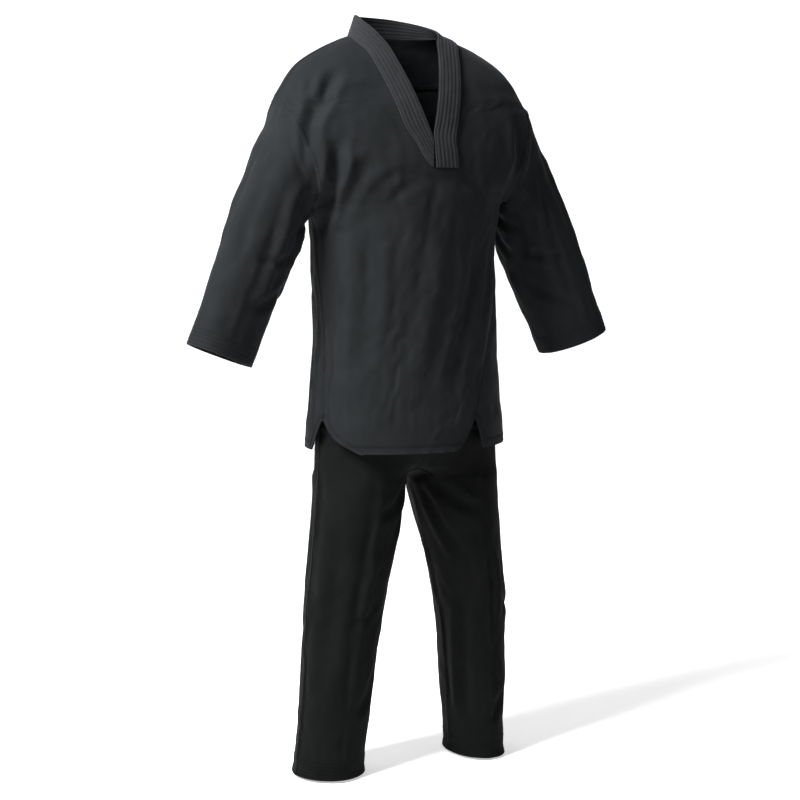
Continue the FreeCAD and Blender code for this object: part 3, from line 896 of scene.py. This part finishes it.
sim, first, faces, owner, maps = soft_cloth(
    jacket_grids(), ("right_sleeve", "left_sleeve"), body_form, jacket_pins, 20, 0.012)
fine, quads, origin, rest = refine(sim, faces, first)
normals = normals_of(fine, quads)
for line, width, depth in CHEST_FOLDS:
    press_fold(fine, normals, rest, [chest_place(x, z) for x, z in line], width, depth)
for line, width, depth in BACK_FOLDS:
    press_fold(fine, normals, rest, [chest_place(x, z, True) for x, z in line], width, depth)
for line, width, depth in SLEEVE_FOLDS:
    for side in (-1, 1):
        press_fold(fine, normals, rest, [sleeve_place(s, t, side) for s, t in line], width, depth)
loose = np.clip(1.25 - np.abs(rest[:, 2] - 0.02) / 0.45, 0.25, 1)
ripple = (noise_at(rest * np.array([1, 1, 0.55]), 22, 1) * 0.0022
          + noise_at(rest * np.array([1, 1, 0.7]), 55, 2) * 0.0007)
near_band = (rest[:, 1] < 0.02) & (rest[:, 2] > 0.14)
band_gap = np.abs(rest[:, 0]) - V_SLOPE * np.clip(rest[:, 2] - V_LOW, 0, 1)
calm = np.where(near_band, ease((band_gap - 0.03) / 0.04), 1)
fine += normals * (ripple * loose * calm)[:, None]
normals = normals_of(fine, quads)
skin = Skin(fine, quads, normals)

panel = np.array([o[0] for o in owner])[origin]
ring_row = np.array([o[1] for o in owner])[origin]
heights, arm_row = trunk_rows()
arm_end = arm_row + ARM_ROWS
vent_row = int(np.argmin(np.abs(heights - VENT_TOP)))
hem_row = len(heights) - 1


def row_at(z):
    return np.interp(-np.asarray(z, float), -heights, np.arange(len(heights)))


def trunk_uv(points, back):
    half = table_at(TRUNK, points[:, 2])
    sign = -1 if back else 1
    turn = np.arctan2(sign * points[:, 0] / half[:, 0],
                      -sign * (points[:, 1] - half[:, 1]) / half[:, 2])
    return np.column_stack([turn * 0.165, points[:, 2]])


def sleeve_uv(points):
    """Places on the sleeves' cloth, and the share of the way to the cuff."""
    folded = points.copy()
    folded[:, 0] = np.abs(folded[:, 0])
    share = ((folded - SLEEVE_TOP) @ SLEEVE_LINE) / (SLEEVE_LINE @ SLEEVE_LINE)
    square = (np.array([-SLEEVE_LINE[2], 0, SLEEVE_LINE[0]])
              / math.hypot(SLEEVE_LINE[2], SLEEVE_LINE[0]))
    middle = SLEEVE_TOP + share[:, None] * SLEEVE_LINE
    turn = np.arctan2(-(points[:, 1] - SLEEVE_MIDDLE_Y), (folded - middle) @ square)
    return np.column_stack([turn * SLEEVE_RADIUS, share * SLEEVE_LENGTH]), share


sleeve_places, sleeve_share = sleeve_uv(rest)
hem_gap = rest[:, 2] - JACKET_HEM
turned = np.where(hem_gap < 0.015, CLOTH_THICK * 1.7, CLOTH_THICK)
hem_wear = np.exp(-hem_gap / 0.004) * 0.7


def side_path(name, column, first_row, last_row):
    rows = np.arange(first_row, last_row + 1)
    return sim[maps[name][rows, column]]


front = Piece("jacket_front_cloth")
front.add_sheet(fine, quads[panel <= 1], normals, turned, trunk_uv(rest, False), hem_wear)
back = Piece("jacket_back_cloth")
back.add_sheet(fine, quads[panel == 2], normals, turned, trunk_uv(rest, True), hem_wear)

for name, column, side in (("front_right", 0, -1), ("front_left", -1, 1)):
    # shoulder seam, felled towards the back, with two rows of stitches
    seam = side_path(name, column, 2, arm_row)
    ribbon(back, skin, seam, 0.010, 0.0008, offset=-0.003 * side)
    for offset in (0.0035, -0.0035):
        stitches(back, skin, seam, offset=(offset - 0.003) * side, lift=0.0009)
    # armhole's front half
    hole = side_path(name, column, arm_row, arm_end)
    ribbon(front, skin, hole, 0.009, 0.0009, offset=-0.004 * side)
    for offset in (-0.0015, -0.0070):
        stitches(front, skin, hole, offset=offset * side, lift=0.0009)
    # turned edge of the tail above its vent, down to the hem
    edge = side_path(name, column, vent_row, hem_row)
    for offset in (-0.008, -0.011):
        stitches(front, skin, edge, offset=offset * side)
for column, side in ((0, 1), (-1, -1)):
    hole = side_path("back", column, arm_row, arm_end)
    ribbon(back, skin, hole, 0.009, 0.0009, offset=0.004 * side)
    for offset in (0.0015, 0.0070):
        stitches(back, skin, hole, offset=offset * side, lift=0.0009)
    # side seam from armpit to vent
    seam = side_path("back", column, arm_end, vent_row)
    ribbon(back, skin, seam, 0.008, 0.0007, offset=0.003 * side)
    stitches(back, skin, seam, offset=0.005 * side, lift=0.0008)
    edge = side_path("back", column, vent_row, hem_row)
    for offset in (0.008, 0.011):
        stitches(back, skin, edge, offset=offset * side)
for rise in (0.0125, 0.0150):
    row = row_at(JACKET_HEM + rise)
    for name, piece, columns in (("front_right", front, HALF_COLUMNS),
                                 ("front_left", front, HALF_COLUMNS),
                                 ("back", back, BACK_COLUMNS)):
        across = np.linspace(0.5, columns - 0.5, columns)
        stitches(piece, skin, on_grid(sim, maps[name], row, across))
for name, column in (("front_right", 0), ("front_left", -1)):
    top = sim[maps[name][vent_row, column]]
    for k in range(5):
        z = top[2] + 0.001 + 0.0016 * k
        tack = [[top[0] - 0.005, top[1], z], [top[0], top[1], z], [top[0] + 0.005, top[1], z]]
        stitches(back, skin, tack, lift=0.001, pitch=0.0028, length=0.0026, width=0.0009)

front_cloth = front.build(JACKET)
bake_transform(front_cloth)
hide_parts("jacket_front", "front_tail")
back_cloth = back.build(JACKET)
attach(back_cloth, "jacket")
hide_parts("jacket_back")

# Back yoke and shoulder tapes, sewn inside
centre = rest[quads].mean(axis=1)
yoke_faces = (panel == 2) & (centre[:, 2] > 0.300) & (np.abs(centre[:, 0]) < 0.150)
yoke = Piece("back_yoke_cloth")
inside = fine - normals * (CLOTH_THICK + 0.0006)
yoke.add_sheet(inside, quads[yoke_faces], normals, 0.0012, trunk_uv(rest, True), 0.2)
edge_columns = np.linspace(8, BACK_COLUMNS - 8, 30)
inner_skin = Skin(inside - normals * 0.0012, quads[:, ::-1], -normals)
for z in (0.3035, 0.3065):
    stitches(yoke, inner_skin, on_grid(sim, maps["back"], row_at(z), edge_columns), lift=0.0003)
yoke_cloth = yoke.build(JACKET)
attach(yoke_cloth, "jacket")
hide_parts("back_yoke")
for name, side, grid in (("right", -1, "front_right"), ("left", 1, "front_left")):
    ridge = np.abs(centre[:, 1] - table_at(TRUNK, centre[:, 2])[:, 1]) < 0.010
    strip = ridge & (panel <= 2) & (centre[:, 0] * side > 0.098) & (centre[:, 2] > 0.270)
    tape = Piece(name + "_shoulder_tape_cloth")
    deeper = fine - normals * (CLOTH_THICK + 0.0022)
    tape.add_sheet(deeper, quads[strip], normals, 0.0010, trunk_uv(rest, False), 0.1)
    tape_cloth = tape.build(TAPE)
    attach(tape_cloth, "jacket")
    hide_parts(name + "_shoulder_tape")

# Sleeves
SPLIT_RING = round(SLEEVE_SPLIT * SLEEVE_RINGS)


def on_side(v, side):
    return (v[0] * side, v[1], v[2])


for name, side, number in (("right", -1, 3), ("left", 1, 4)):
    mine = panel == number
    grid = maps[name + "_sleeve"]
    loop = np.concatenate([grid, grid[:, :1]], axis=1)
    cuff_gap = (1 - sleeve_share) * SLEEVE_LENGTH
    thick = np.where(cuff_gap < 0.036, CLOTH_THICK * 1.4, CLOTH_THICK)
    wear = np.exp(-cuff_gap / 0.004) * 0.7
    upper = Piece(name + "_sleeve_upper_cloth")
    upper.add_sheet(fine, quads[mine & (ring_row < SPLIT_RING)], normals, CLOTH_THICK,
                    sleeve_places)
    lower = Piece(name + "_sleeve_lower_cloth")
    lower.add_sheet(fine, quads[mine & (ring_row >= SPLIT_RING)], normals, thick,
                    sleeve_places, wear)
    under = ARM_ROWS
    ribbon(upper, skin, sim[grid[:SPLIT_RING + 1, under]], 0.007, 0.0007)
    ribbon(lower, skin, sim[grid[SPLIT_RING:, under]], 0.007, 0.0007)
    for rise in (0.004, 0.011, 0.018, 0.025, 0.032):
        row = SLEEVE_RINGS * (1 - rise / SLEEVE_LENGTH)
        stitches(lower, skin, on_grid(sim, loop, row, np.arange(loop.shape[1])))
    cuff = Piece(name + "_sleeve_cuff_cloth")
    lining = fine - normals * (CLOTH_THICK * 1.4 + 0.0006)
    facing = mine & (sleeve_share[quads].mean(axis=1) > 1 - 0.036 / SLEEVE_LENGTH)
    cuff.add_sheet(lining, quads[facing], normals, 0.0010, sleeve_places, wear)
    upper_cloth, lower_cloth, cuff_cloth = (p.build(JACKET) for p in (upper, lower, cuff))
    shoulder, arm, elbow, forearm = (on_side(Vector(table_at(SLEEVE, share)[:3]), side)
                                     for share in (0.235, 0.395, 0.42, 0.56))
    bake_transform(upper_cloth)
    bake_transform(lower_cloth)
    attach(cuff_cloth, name + "_lower_sleeve")
    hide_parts(name + "_upper_sleeve")
    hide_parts(name + "_lower_sleeve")
    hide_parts(name + "_sleeve_cuff")

# Neck band: one folded, quilted strip up both sides of the V and round the neck. Each pair is
# its upper and its lower edge, from the middle of the back to the chest; right is mirrored.
BACK_TO_RIGHT = [
    ((0.036, 0.0840, 0.4310), (0.037, 0.0885, 0.3910)),
    ((0.062, 0.0680, 0.4310), (0.068, 0.0760, 0.3910)),
    ((0.079, 0.0380, 0.4300), (0.092, 0.0440, 0.3890)),
    ((0.080, 0.0080, 0.4190), (0.105, 0.0100, 0.3830)),
    ((0.068, -0.018, 0.4000), (0.104, -0.010, 0.3720)),
]
BACK_TO_LEFT = [
    ((0.000, 0.0880, 0.4300), (0.000, 0.0925, 0.3905)),
    ((0.032, 0.0845, 0.4265), (0.036, 0.0885, 0.3910)),
    ((0.056, 0.0670, 0.4200), (0.068, 0.0760, 0.3905)),
    ((0.071, 0.0400, 0.4110), (0.092, 0.0420, 0.3885)),
    ((0.072, 0.0100, 0.4030), (0.102, 0.0080, 0.3820)),
    ((0.065, -0.012, 0.3960), (0.102, -0.010, 0.3720)),
]
BAND_ROWS = 6
BAND_STEP = 0.004


def band_side(places):
    pairs = [(np.array(a), np.array(b)) for a, b in places]
    for z in (0.372, 0.338, 0.304, 0.270, 0.236):
        x = V_SLOPE * (z - V_LOW)
        pairs.append((chest_place(x, z), chest_place(x + 0.043, z - 0.013)))
    return pairs


def chest_pair(x1, z1, x2, z2):
    return chest_place(x1, z1), chest_place(x2, z2)


def band_pairs():
    flip = np.array([-1, 1, 1])
    right = [(a * flip, b * flip) for a, b in band_side(BACK_TO_RIGHT)]
    right.append(chest_pair(-0.004, 0.214, -0.034, 0.190))
    right.append(chest_pair(-0.0015, 0.202, -0.021, 0.164))
    right.append(chest_pair(-0.001, 0.199, -0.007, 0.150))
    left = band_side(BACK_TO_LEFT)
    left.append(chest_pair(0.001, 0.206, 0.046, 0.196))
    left.append(chest_pair(0.000, 0.180, 0.047, 0.178))
    left.append(chest_pair(0.000, 0.149, 0.047, 0.149))
    return right[::-1] + left


band = Piece("neck_band_cloth")
pairs = band_pairs()
inner_edge = np.array([a for a, b in pairs])
outer_edge = np.array([b for a, b in pairs])
middle = (inner_edge + outer_edge) / 2
along = np.concatenate([[0], np.cumsum(np.linalg.norm(np.diff(middle, axis=0), axis=1))])
steps = np.linspace(0, along[-1], int(along[-1] / BAND_STEP) + 1)
inner_edge = smooth_at(along, inner_edge, steps)
outer_edge = smooth_at(along, outer_edge, steps)
columns = [0.0, 0.03]
for k in range(BAND_ROWS):
    v = 0.07 + 0.86 * k / (BAND_ROWS - 1)
    columns += [v - 0.014, v, v + 0.014]
    if k < BAND_ROWS - 1:
        columns += [v + 0.05, v + 0.086, v + 0.122]
columns = np.array(columns + [0.97, 1.0])
groove = np.array([min(abs(v - 0.07 - 0.172 * k) for k in range(BAND_ROWS)) for v in columns])
puff = 1 - np.exp(-(groove / 0.03) ** 2)
puff[[0, -1]] = -0.6
base = (inner_edge[:, None] * (1 - columns[None, :, None])
        + outer_edge[:, None] * columns[None, :, None])
flat_points = base.reshape(-1, 3)
spots, out = skin.lay(flat_points)
above = ((flat_points - spots) * out).sum(axis=1)
close = np.linalg.norm(flat_points - spots, axis=1) < 0.014
push = np.where(close, np.clip(0.0010 - above, 0, 0.012), 0)
base = (flat_points + out * push[:, None]).reshape(base.shape)
lengthwise = np.gradient(base, axis=0)
crosswise = np.gradient(base, axis=1)
facing_out = np.cross(lengthwise, crosswise)
facing_out /= np.linalg.norm(facing_out, axis=2, keepdims=True)
wobble = noise_at(base.reshape(-1, 3), 60, 5).reshape(base.shape[:2]) * 0.0006
outer_face = base + facing_out * (0.0018 + 0.0009 * puff[None, :] + wobble)[..., None]
inner_face = base - facing_out * (0.0002 + 0.0007 * puff[None, :])[..., None]
loop = np.concatenate([outer_face, inner_face[:, ::-1], outer_face[:, :1]], axis=1)
band_uv = np.stack(np.broadcast_arrays(
    np.linspace(0, 0.2, loop.shape[1])[None, :], steps[:, None]), axis=-1).reshape(-1, 2)
edge_wear = np.zeros(loop.shape[:2])
edge_wear[:, [0, 1, len(columns) - 2, len(columns) - 1, -1]] = 0.5
band.add_grid(loop[:, ::-1], uv=band_uv, worn=edge_wear.ravel())
for row in (0, -1):
    ring = np.stack([outer_face[row], inner_face[row]])
    band.add_grid(ring if row == 0 else ring[::-1])
for k in range(BAND_ROWS):
    c = 3 + k * 6 if k else 3
    track = outer_face[:, c]
    inner_track = inner_face[:, c]
    for face_track, sign in ((track, 1), (inner_track, -1)):
        path = even_path(face_track, 0.0036)
        share = np.linspace(0, len(steps) - 1, len(path)).round().astype(int)
        n = facing_out[share, c] * sign
        thread_bars(band, path + n * 0.0003, n, across_of(path, n), 0.0025, 0.0006)
band_cloth = band.build(BAND)
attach(band_cloth, "jacket")
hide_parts("right_lapel_band", "left_lapel_band", "collar_band")


# Trousers

def trouser_forms():
    forms = []
    hips = [trunk_ring(z, *table_at(HIPS, z)[1:]) for z in np.linspace(-0.330, -0.010, 10)]
    forms.append(form_mesh("hip_form", shrink_rings(hips, BODY_INSET)))
    for side, leg in ((-1, RIGHT_LEG), (1, LEFT_LEG)):
        rings = []
        for z in np.linspace(-0.975, -0.330, 20):
            x, wide, deep = table_at(leg, z)
            ring = trunk_ring(z, wide, deep)
            ring[:, 0] += x * side
            rings.append(ring)
        forms.append(form_mesh("leg_form", shrink_rings(rings, BODY_INSET)))
    return forms


def trunk_ring(z, wide, deep):
    a = np.radians(np.arange(40) * 9)
    return np.column_stack([wide * np.sin(a), -deep * np.cos(a), np.full(40, z)])


def trouser_pins(rest, maps):
    z = rest[:, 2]
    hold = np.full(len(rest), 0.45)
    hold = np.where(z > -0.05, 1.0, hold)
    hold = np.where(z < LEG_HEM + 0.035, 0.9, hold)
    hold = np.where((np.abs(rest[:, 0]) < 0.004) & (z > -0.44), 0.75, hold)
    return hold


leg_sim, leg_first, leg_faces, leg_owner, leg_maps = soft_cloth(
    {"right": leg_grid(RIGHT_LEG, -1), "left": leg_grid(LEFT_LEG, 1)}, (),
    trouser_forms, trouser_pins, 20, 0.012)
leg_fine, leg_quads, leg_origin, leg_rest = refine(leg_sim, leg_faces, leg_first)
leg_normals = normals_of(leg_fine, leg_quads)


def leg_place(leg, side, z, turn):
    x, wide, deep = table_at(leg, z)
    a = math.radians(turn)
    return np.array([(x - wide * math.cos(a)) * side, -deep * math.sin(a), z])


for leg, side, folds in ((RIGHT_LEG, -1, RIGHT_LEG_FOLDS), (LEFT_LEG, 1, LEFT_LEG_FOLDS)):
    for line, width, depth in folds:
        press_fold(leg_fine, leg_normals, leg_rest,
                   [leg_place(leg, side, z, t) for z, t in line], width, depth)
ripple = (noise_at(leg_rest * np.array([1, 1, 0.5]), 20, 3) * 0.0022
          + noise_at(leg_rest * np.array([1, 1, 0.7]), 50, 4) * 0.0007)
leg_fine += leg_normals * (ripple * np.clip(-leg_rest[:, 2] / 0.3, 0.2, 1))[:, None]
leg_normals = normals_of(leg_fine, leg_quads)
leg_skin = Skin(leg_fine, leg_quads, leg_normals)
leg_panel = np.array([o[0] for o in leg_owner])[leg_origin]
leg_height = leg_rest[leg_quads].mean(axis=1)[:, 2]
leg_rows = trouser_rows()


def leg_row_at(z):
    return np.interp(-np.asarray(z, float), -leg_rows, np.arange(len(leg_rows)))


for name, side, leg, number in (("right", -1, RIGHT_LEG, 0), ("left", 1, LEFT_LEG, 1)):
    mine = leg_panel == number
    grid = leg_maps[name]
    x = table_at(leg, leg_rest[:, 2])[:, 0]
    turn = np.arctan2(-leg_rest[:, 1], x - leg_rest[:, 0] * side)
    turn = np.where(leg_rest[:, 1] > 0.0005, turn + 2 * math.pi, turn)
    places = np.column_stack([turn * 0.082, leg_rest[:, 2]])
    gap = leg_rest[:, 2] - LEG_HEM
    thick = np.where(gap < 0.034, CLOTH_THICK * 1.5, CLOTH_THICK)
    wear = np.exp(-gap / 0.004) * 0.8
    upper = Piece(name + "_leg_upper_cloth")
    upper.add_sheet(leg_fine, leg_quads[mine & (leg_height > LEG_SPLIT)], leg_normals,
                    CLOTH_THICK, places)
    lower = Piece(name + "_leg_lower_cloth")
    lower.add_sheet(leg_fine, leg_quads[mine & (leg_height <= LEG_SPLIT)], leg_normals,
                    thick, places, wear)
    split = int(np.sum(leg_rows > LEG_SPLIT))
    crotch = int(np.argmin(np.abs(leg_rows - CROTCH)))
    outer = LEG_COLUMNS // 2
    last = len(leg_rows) - 1
    for piece, first_row, last_row in ((upper, 1, split), (lower, split, last)):
        seam = leg_sim[grid[first_row:last_row + 1, outer]]
        ribbon(piece, leg_skin, seam, 0.008, 0.0007)
        stitches(piece, leg_skin, seam, offset=0.0025, lift=0.0009)
    for column in (0, LEG_COLUMNS):
        seam = leg_sim[grid[1:crotch, column]]
        stitches(upper, leg_skin, seam, offset=0.004 * side * (1 if column else -1))
    inseam = leg_sim[grid[crotch:, 0]]
    stitches(upper, leg_skin, inseam[:split - crotch + 1], offset=0.003)
    stitches(lower, leg_skin, inseam[split - crotch:], offset=0.003)
    for rise in (0.006, 0.013, 0.020, 0.027, 0.034):
        row = leg_row_at(LEG_HEM + rise)
        stitches(lower, leg_skin, on_grid(leg_sim, grid, row, np.arange(LEG_COLUMNS + 1)))
    cuff = Piece(name + "_leg_cuff_cloth")
    lining = leg_fine - leg_normals * (CLOTH_THICK * 1.5 + 0.0006)
    facing = mine & (leg_height < LEG_HEM + 0.034)
    cuff.add_sheet(lining, leg_quads[facing], leg_normals, 0.0010, places, wear)
    upper_cloth, lower_cloth, cuff_cloth = (p.build(TROUSER) for p in (upper, lower, cuff))
    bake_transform(upper_cloth)
    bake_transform(lower_cloth)
    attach(cuff_cloth, name + "_shin")
    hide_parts(name + "_hip_front", name + "_hip_back",
                name + "_thigh_front", name + "_thigh_back")
    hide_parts(name + "_shin_front", name + "_shin_back")
    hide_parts(name + "_leg_cuff")

# Crotch gusset, sewn over the meeting of the four seams
gusset = Piece("crotch_gusset_cloth")
spot = leg_rest[leg_quads].mean(axis=1)
patch = (np.abs(spot[:, 0]) < 0.036) & (np.abs(spot[:, 1]) < 0.058) & (spot[:, 2] < -0.385)
patch &= spot[:, 2] > -0.440
over = leg_fine + leg_normals * 0.0012
gusset.add_sheet(over, leg_quads[patch], leg_normals, 0.0010, leg_rest[:, :2].copy())
gusset_cloth = gusset.build(TROUSER)
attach(gusset_cloth, "trousers_top")
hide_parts("crotch_gusset")

# Waistband: a gathered casing, the elastic inside it and two eyelets
WAIST_WIDE, WAIST_DEEP = table_at(HIPS, 0.0)[1:]
BAND_HIGH = 0.044
EYELET_X, EYELET_Z, EYELET_R = 0.028, -0.022, 0.0040


def waist_loop(inset, heights, gather, columns=420):
    """Rows of points round the waist; gathers swell between the two sewn edges."""
    a = 2 * math.pi * np.arange(columns) / columns
    phase = rng.uniform(0, 2 * math.pi, 6)
    wave = sum(np.sin(n * a + p) for n, p in zip((61, 74, 89, 97, 113, 130), phase)) / 6
    flat_front = 1 - 0.7 * np.exp(-((np.sin(a) / 0.35) ** 2)) * (np.cos(a) > 0)
    rows = []
    for z in heights:
        v = -z / BAND_HIGH
        swell = gather * max(0.15, math.sin(math.pi * min(1, max(0, v)))) * wave * flat_front * 2.2
        wide, deep = WAIST_WIDE - inset + swell, WAIST_DEEP - inset + swell
        rows.append(np.column_stack([wide * np.sin(a), -deep * np.cos(a), np.full(columns, z)]))
    return np.array(rows)


def without_eyelets(piece, grid, outwards):
    """Adds a closed ring grid, leaving out the quads where the eyelets go through."""
    rows, columns = grid.shape[:2]
    index = np.arange(rows * columns).reshape(rows, columns)
    index = np.concatenate([index, index[:, :1]], axis=1)
    quads = np.stack([index[:-1, :-1], index[1:, :-1], index[1:, 1:], index[:-1, 1:]],
                     axis=-1).reshape(-1, 4)
    points = grid.reshape(-1, 3)
    centres = points[quads].mean(axis=1)
    away = np.hypot(np.abs(centres[:, 0]) - EYELET_X, centres[:, 2] - EYELET_Z)
    quads = quads[(away > EYELET_R + 0.0008) | (centres[:, 1] > 0)]
    if not outwards:
        quads = quads[:, ::-1]
    normals = normals_of(points, quads)
    turn = np.arctan2(points[:, 0], -points[:, 1])
    uv = np.column_stack([turn * 0.125, points[:, 2]])
    wear = np.clip(1 - np.minimum(-points[:, 2], points[:, 2] + BAND_HIGH) / 0.003, 0, 1) * 0.5
    piece.add(points, quads, normals[quads].reshape(-1, 3), uv, wear)
    return Skin(points, quads, normals)


casing = Piece("waistband_cloth")
heights_down = np.concatenate([[-0.0004], np.linspace(-0.0015, -BAND_HIGH + 0.0015, 24)])
outer_rows = waist_loop(0.0004, heights_down, 0.0011)
inner_rows = waist_loop(0.0046, heights_down[::-1], 0.0007)
bottom = waist_loop(0.0024, [-BAND_HIGH], 0.0004)
top = waist_loop(0.0024, [0.0], 0.0004)
ring = np.concatenate([top, outer_rows, bottom, inner_rows, top])
casing_skin = without_eyelets(casing, ring, True)
round_waist = np.radians(np.arange(0, 361, 2.0))
for z in (-0.0045, -0.0150, -0.0290, -0.0400):
    circle = np.column_stack([(WAIST_WIDE + 0.002) * np.sin(round_waist),
                              -(WAIST_DEEP + 0.002) * np.cos(round_waist),
                              np.full(len(round_waist), z)])
    for part in (circle[18:163], circle[3:12], circle[169:178]):
        stitches(casing, casing_skin, part)
casing_cloth = casing.build(TROUSER)
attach(casing_cloth, "trousers_top")
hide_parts("waistband_front", "waistband_back")

elastic = Piece("waist_elastic_band")
a = np.radians(np.linspace(27, 333, 240))
profile = [(0.0021, -0.006), (0.0019, -0.016), (0.0021, -0.028), (0.0021, -0.038),
           (0.0034, -0.038), (0.0034, -0.022), (0.0034, -0.006), (0.0021, -0.006)]
rows = [np.column_stack([(WAIST_WIDE - i) * np.sin(a), -(WAIST_DEEP - i) * np.cos(a),
                         np.full(len(a), z)]) for i, z in profile]
elastic.add_grid(np.array(rows)[::-1])
elastic_band = elastic.build(RUBBER)
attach(elastic_band, "trousers_top")
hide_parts("waist_elastic")

eyelets = Piece("drawcord_eyelets_metal")
RIM = [(0.0040, 0.0), (0.0040, 0.0028), (0.0044, 0.0036), (0.0052, 0.0040), (0.0060, 0.0036),
       (0.0064, 0.0030), (0.0062, 0.0026), (0.0046, 0.0024), (0.0046, 0.0)]
y_front = -WAIST_DEEP * math.sqrt(1 - (EYELET_X / WAIST_WIDE) ** 2) + 0.0024
turn = np.linspace(0, 2 * math.pi, 49)
for side in (-1, 1):
    lean = side * math.asin(EYELET_X / WAIST_WIDE) * 0.75
    for face in (-1, 1):
        rows = []
        for radius, reach in RIM:
            x = radius * np.cos(turn)
            y = np.full(len(turn), reach * face)
            rows.append(np.column_stack([
                side * EYELET_X + x * math.cos(lean),
                y_front + y - x * math.sin(lean),
                EYELET_Z + radius * np.sin(turn)]))
        grid = np.array(rows)
        eyelets.add_grid(grid if face < 0 else grid[::-1])
eyelet_metal = eyelets.build(METAL)
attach(eyelet_metal, "trousers_top")
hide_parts("drawcord_eyelets")


# Stage, light and camera

def area_light(name, place, size, power, colour=(1, 1, 1), target=(0, 0, -0.28)):
    data = bpy.data.lights.new(name, "AREA")
    data.shape = "RECTANGLE"
    data.size, data.size_y = size
    data.energy = power
    data.color = colour
    obj = bpy.data.objects.new(name, data)
    obj.location = place
    obj.rotation_euler = (Vector(target) - Vector(place)).to_track_quat("-Z", "Y").to_euler()
    bpy.context.scene.collection.objects.link(obj)


def white_stage():
    """Pale floor that curves up into a wall behind."""
    mat, _, shader = new_material("pale_floor")
    fill(shader, {"Base Color": (0.92, 0.92, 0.92, 1), "Roughness": 0.9,
                  "Emission Color": (1, 1, 1, 1), "Emission Strength": 0.5})
    reach, back, rise, bend = 9.0, 5.0, 6.0, 2.0
    level = LEG_HEM - 0.004
    rows = [(-reach, level), (back - bend, level)]
    for k in range(1, 13):
        a = math.pi / 2 * k / 12
        rows.append((back - bend + bend * math.sin(a), level + bend * (1 - math.cos(a))))
    rows.append((back, level + rise))
    points, faces = [], []
    for y, z in rows:
        points += [(-reach, y, z), (reach, y, z)]
    for k in range(len(rows) - 1):
        faces.append([2 * k, 2 * k + 1, 2 * k + 3, 2 * k + 2])
    mesh = make_mesh("pale_floor", points, faces)
    mesh.polygons.foreach_set("use_smooth", np.ones(len(faces), bool))
    floor = make_object("pale_floor", mesh, mat)


white_stage()
world = bpy.data.worlds.new("studio")
bpy.context.scene.world = world
world.use_nodes = True
fill(world.node_tree.nodes["Background"], {"Color": (1, 1, 1, 1), "Strength": 0.16})
area_light("key", (-2.0, -0.55, 1.75), (0.9, 1.3), 350)
area_light("top", (-0.6, 0.3, 2.6), (2.0, 1.2), 14)
bpy.context.scene.view_settings.view_transform = "Standard"

azimuth, elevation, distance = math.radians(-27), math.radians(6.8), 3.5
target = Vector((-0.006 * math.cos(azimuth), -0.006 * math.sin(azimuth), -0.2885))
camera_data = bpy.data.cameras.new("camera")
camera_data.lens = 82.9
camera = bpy.data.objects.new("camera", camera_data)
camera.location = target + distance * Vector((math.sin(azimuth) * math.cos(elevation),
                                              -math.cos(azimuth) * math.cos(elevation),
                                              math.sin(elevation)))
camera.rotation_euler = (target - camera.location).to_track_quat("-Z", "Y").to_euler()
bpy.context.scene.collection.objects.link(camera)
bpy.context.scene.camera = camera

bpy.context.view_layer.update()
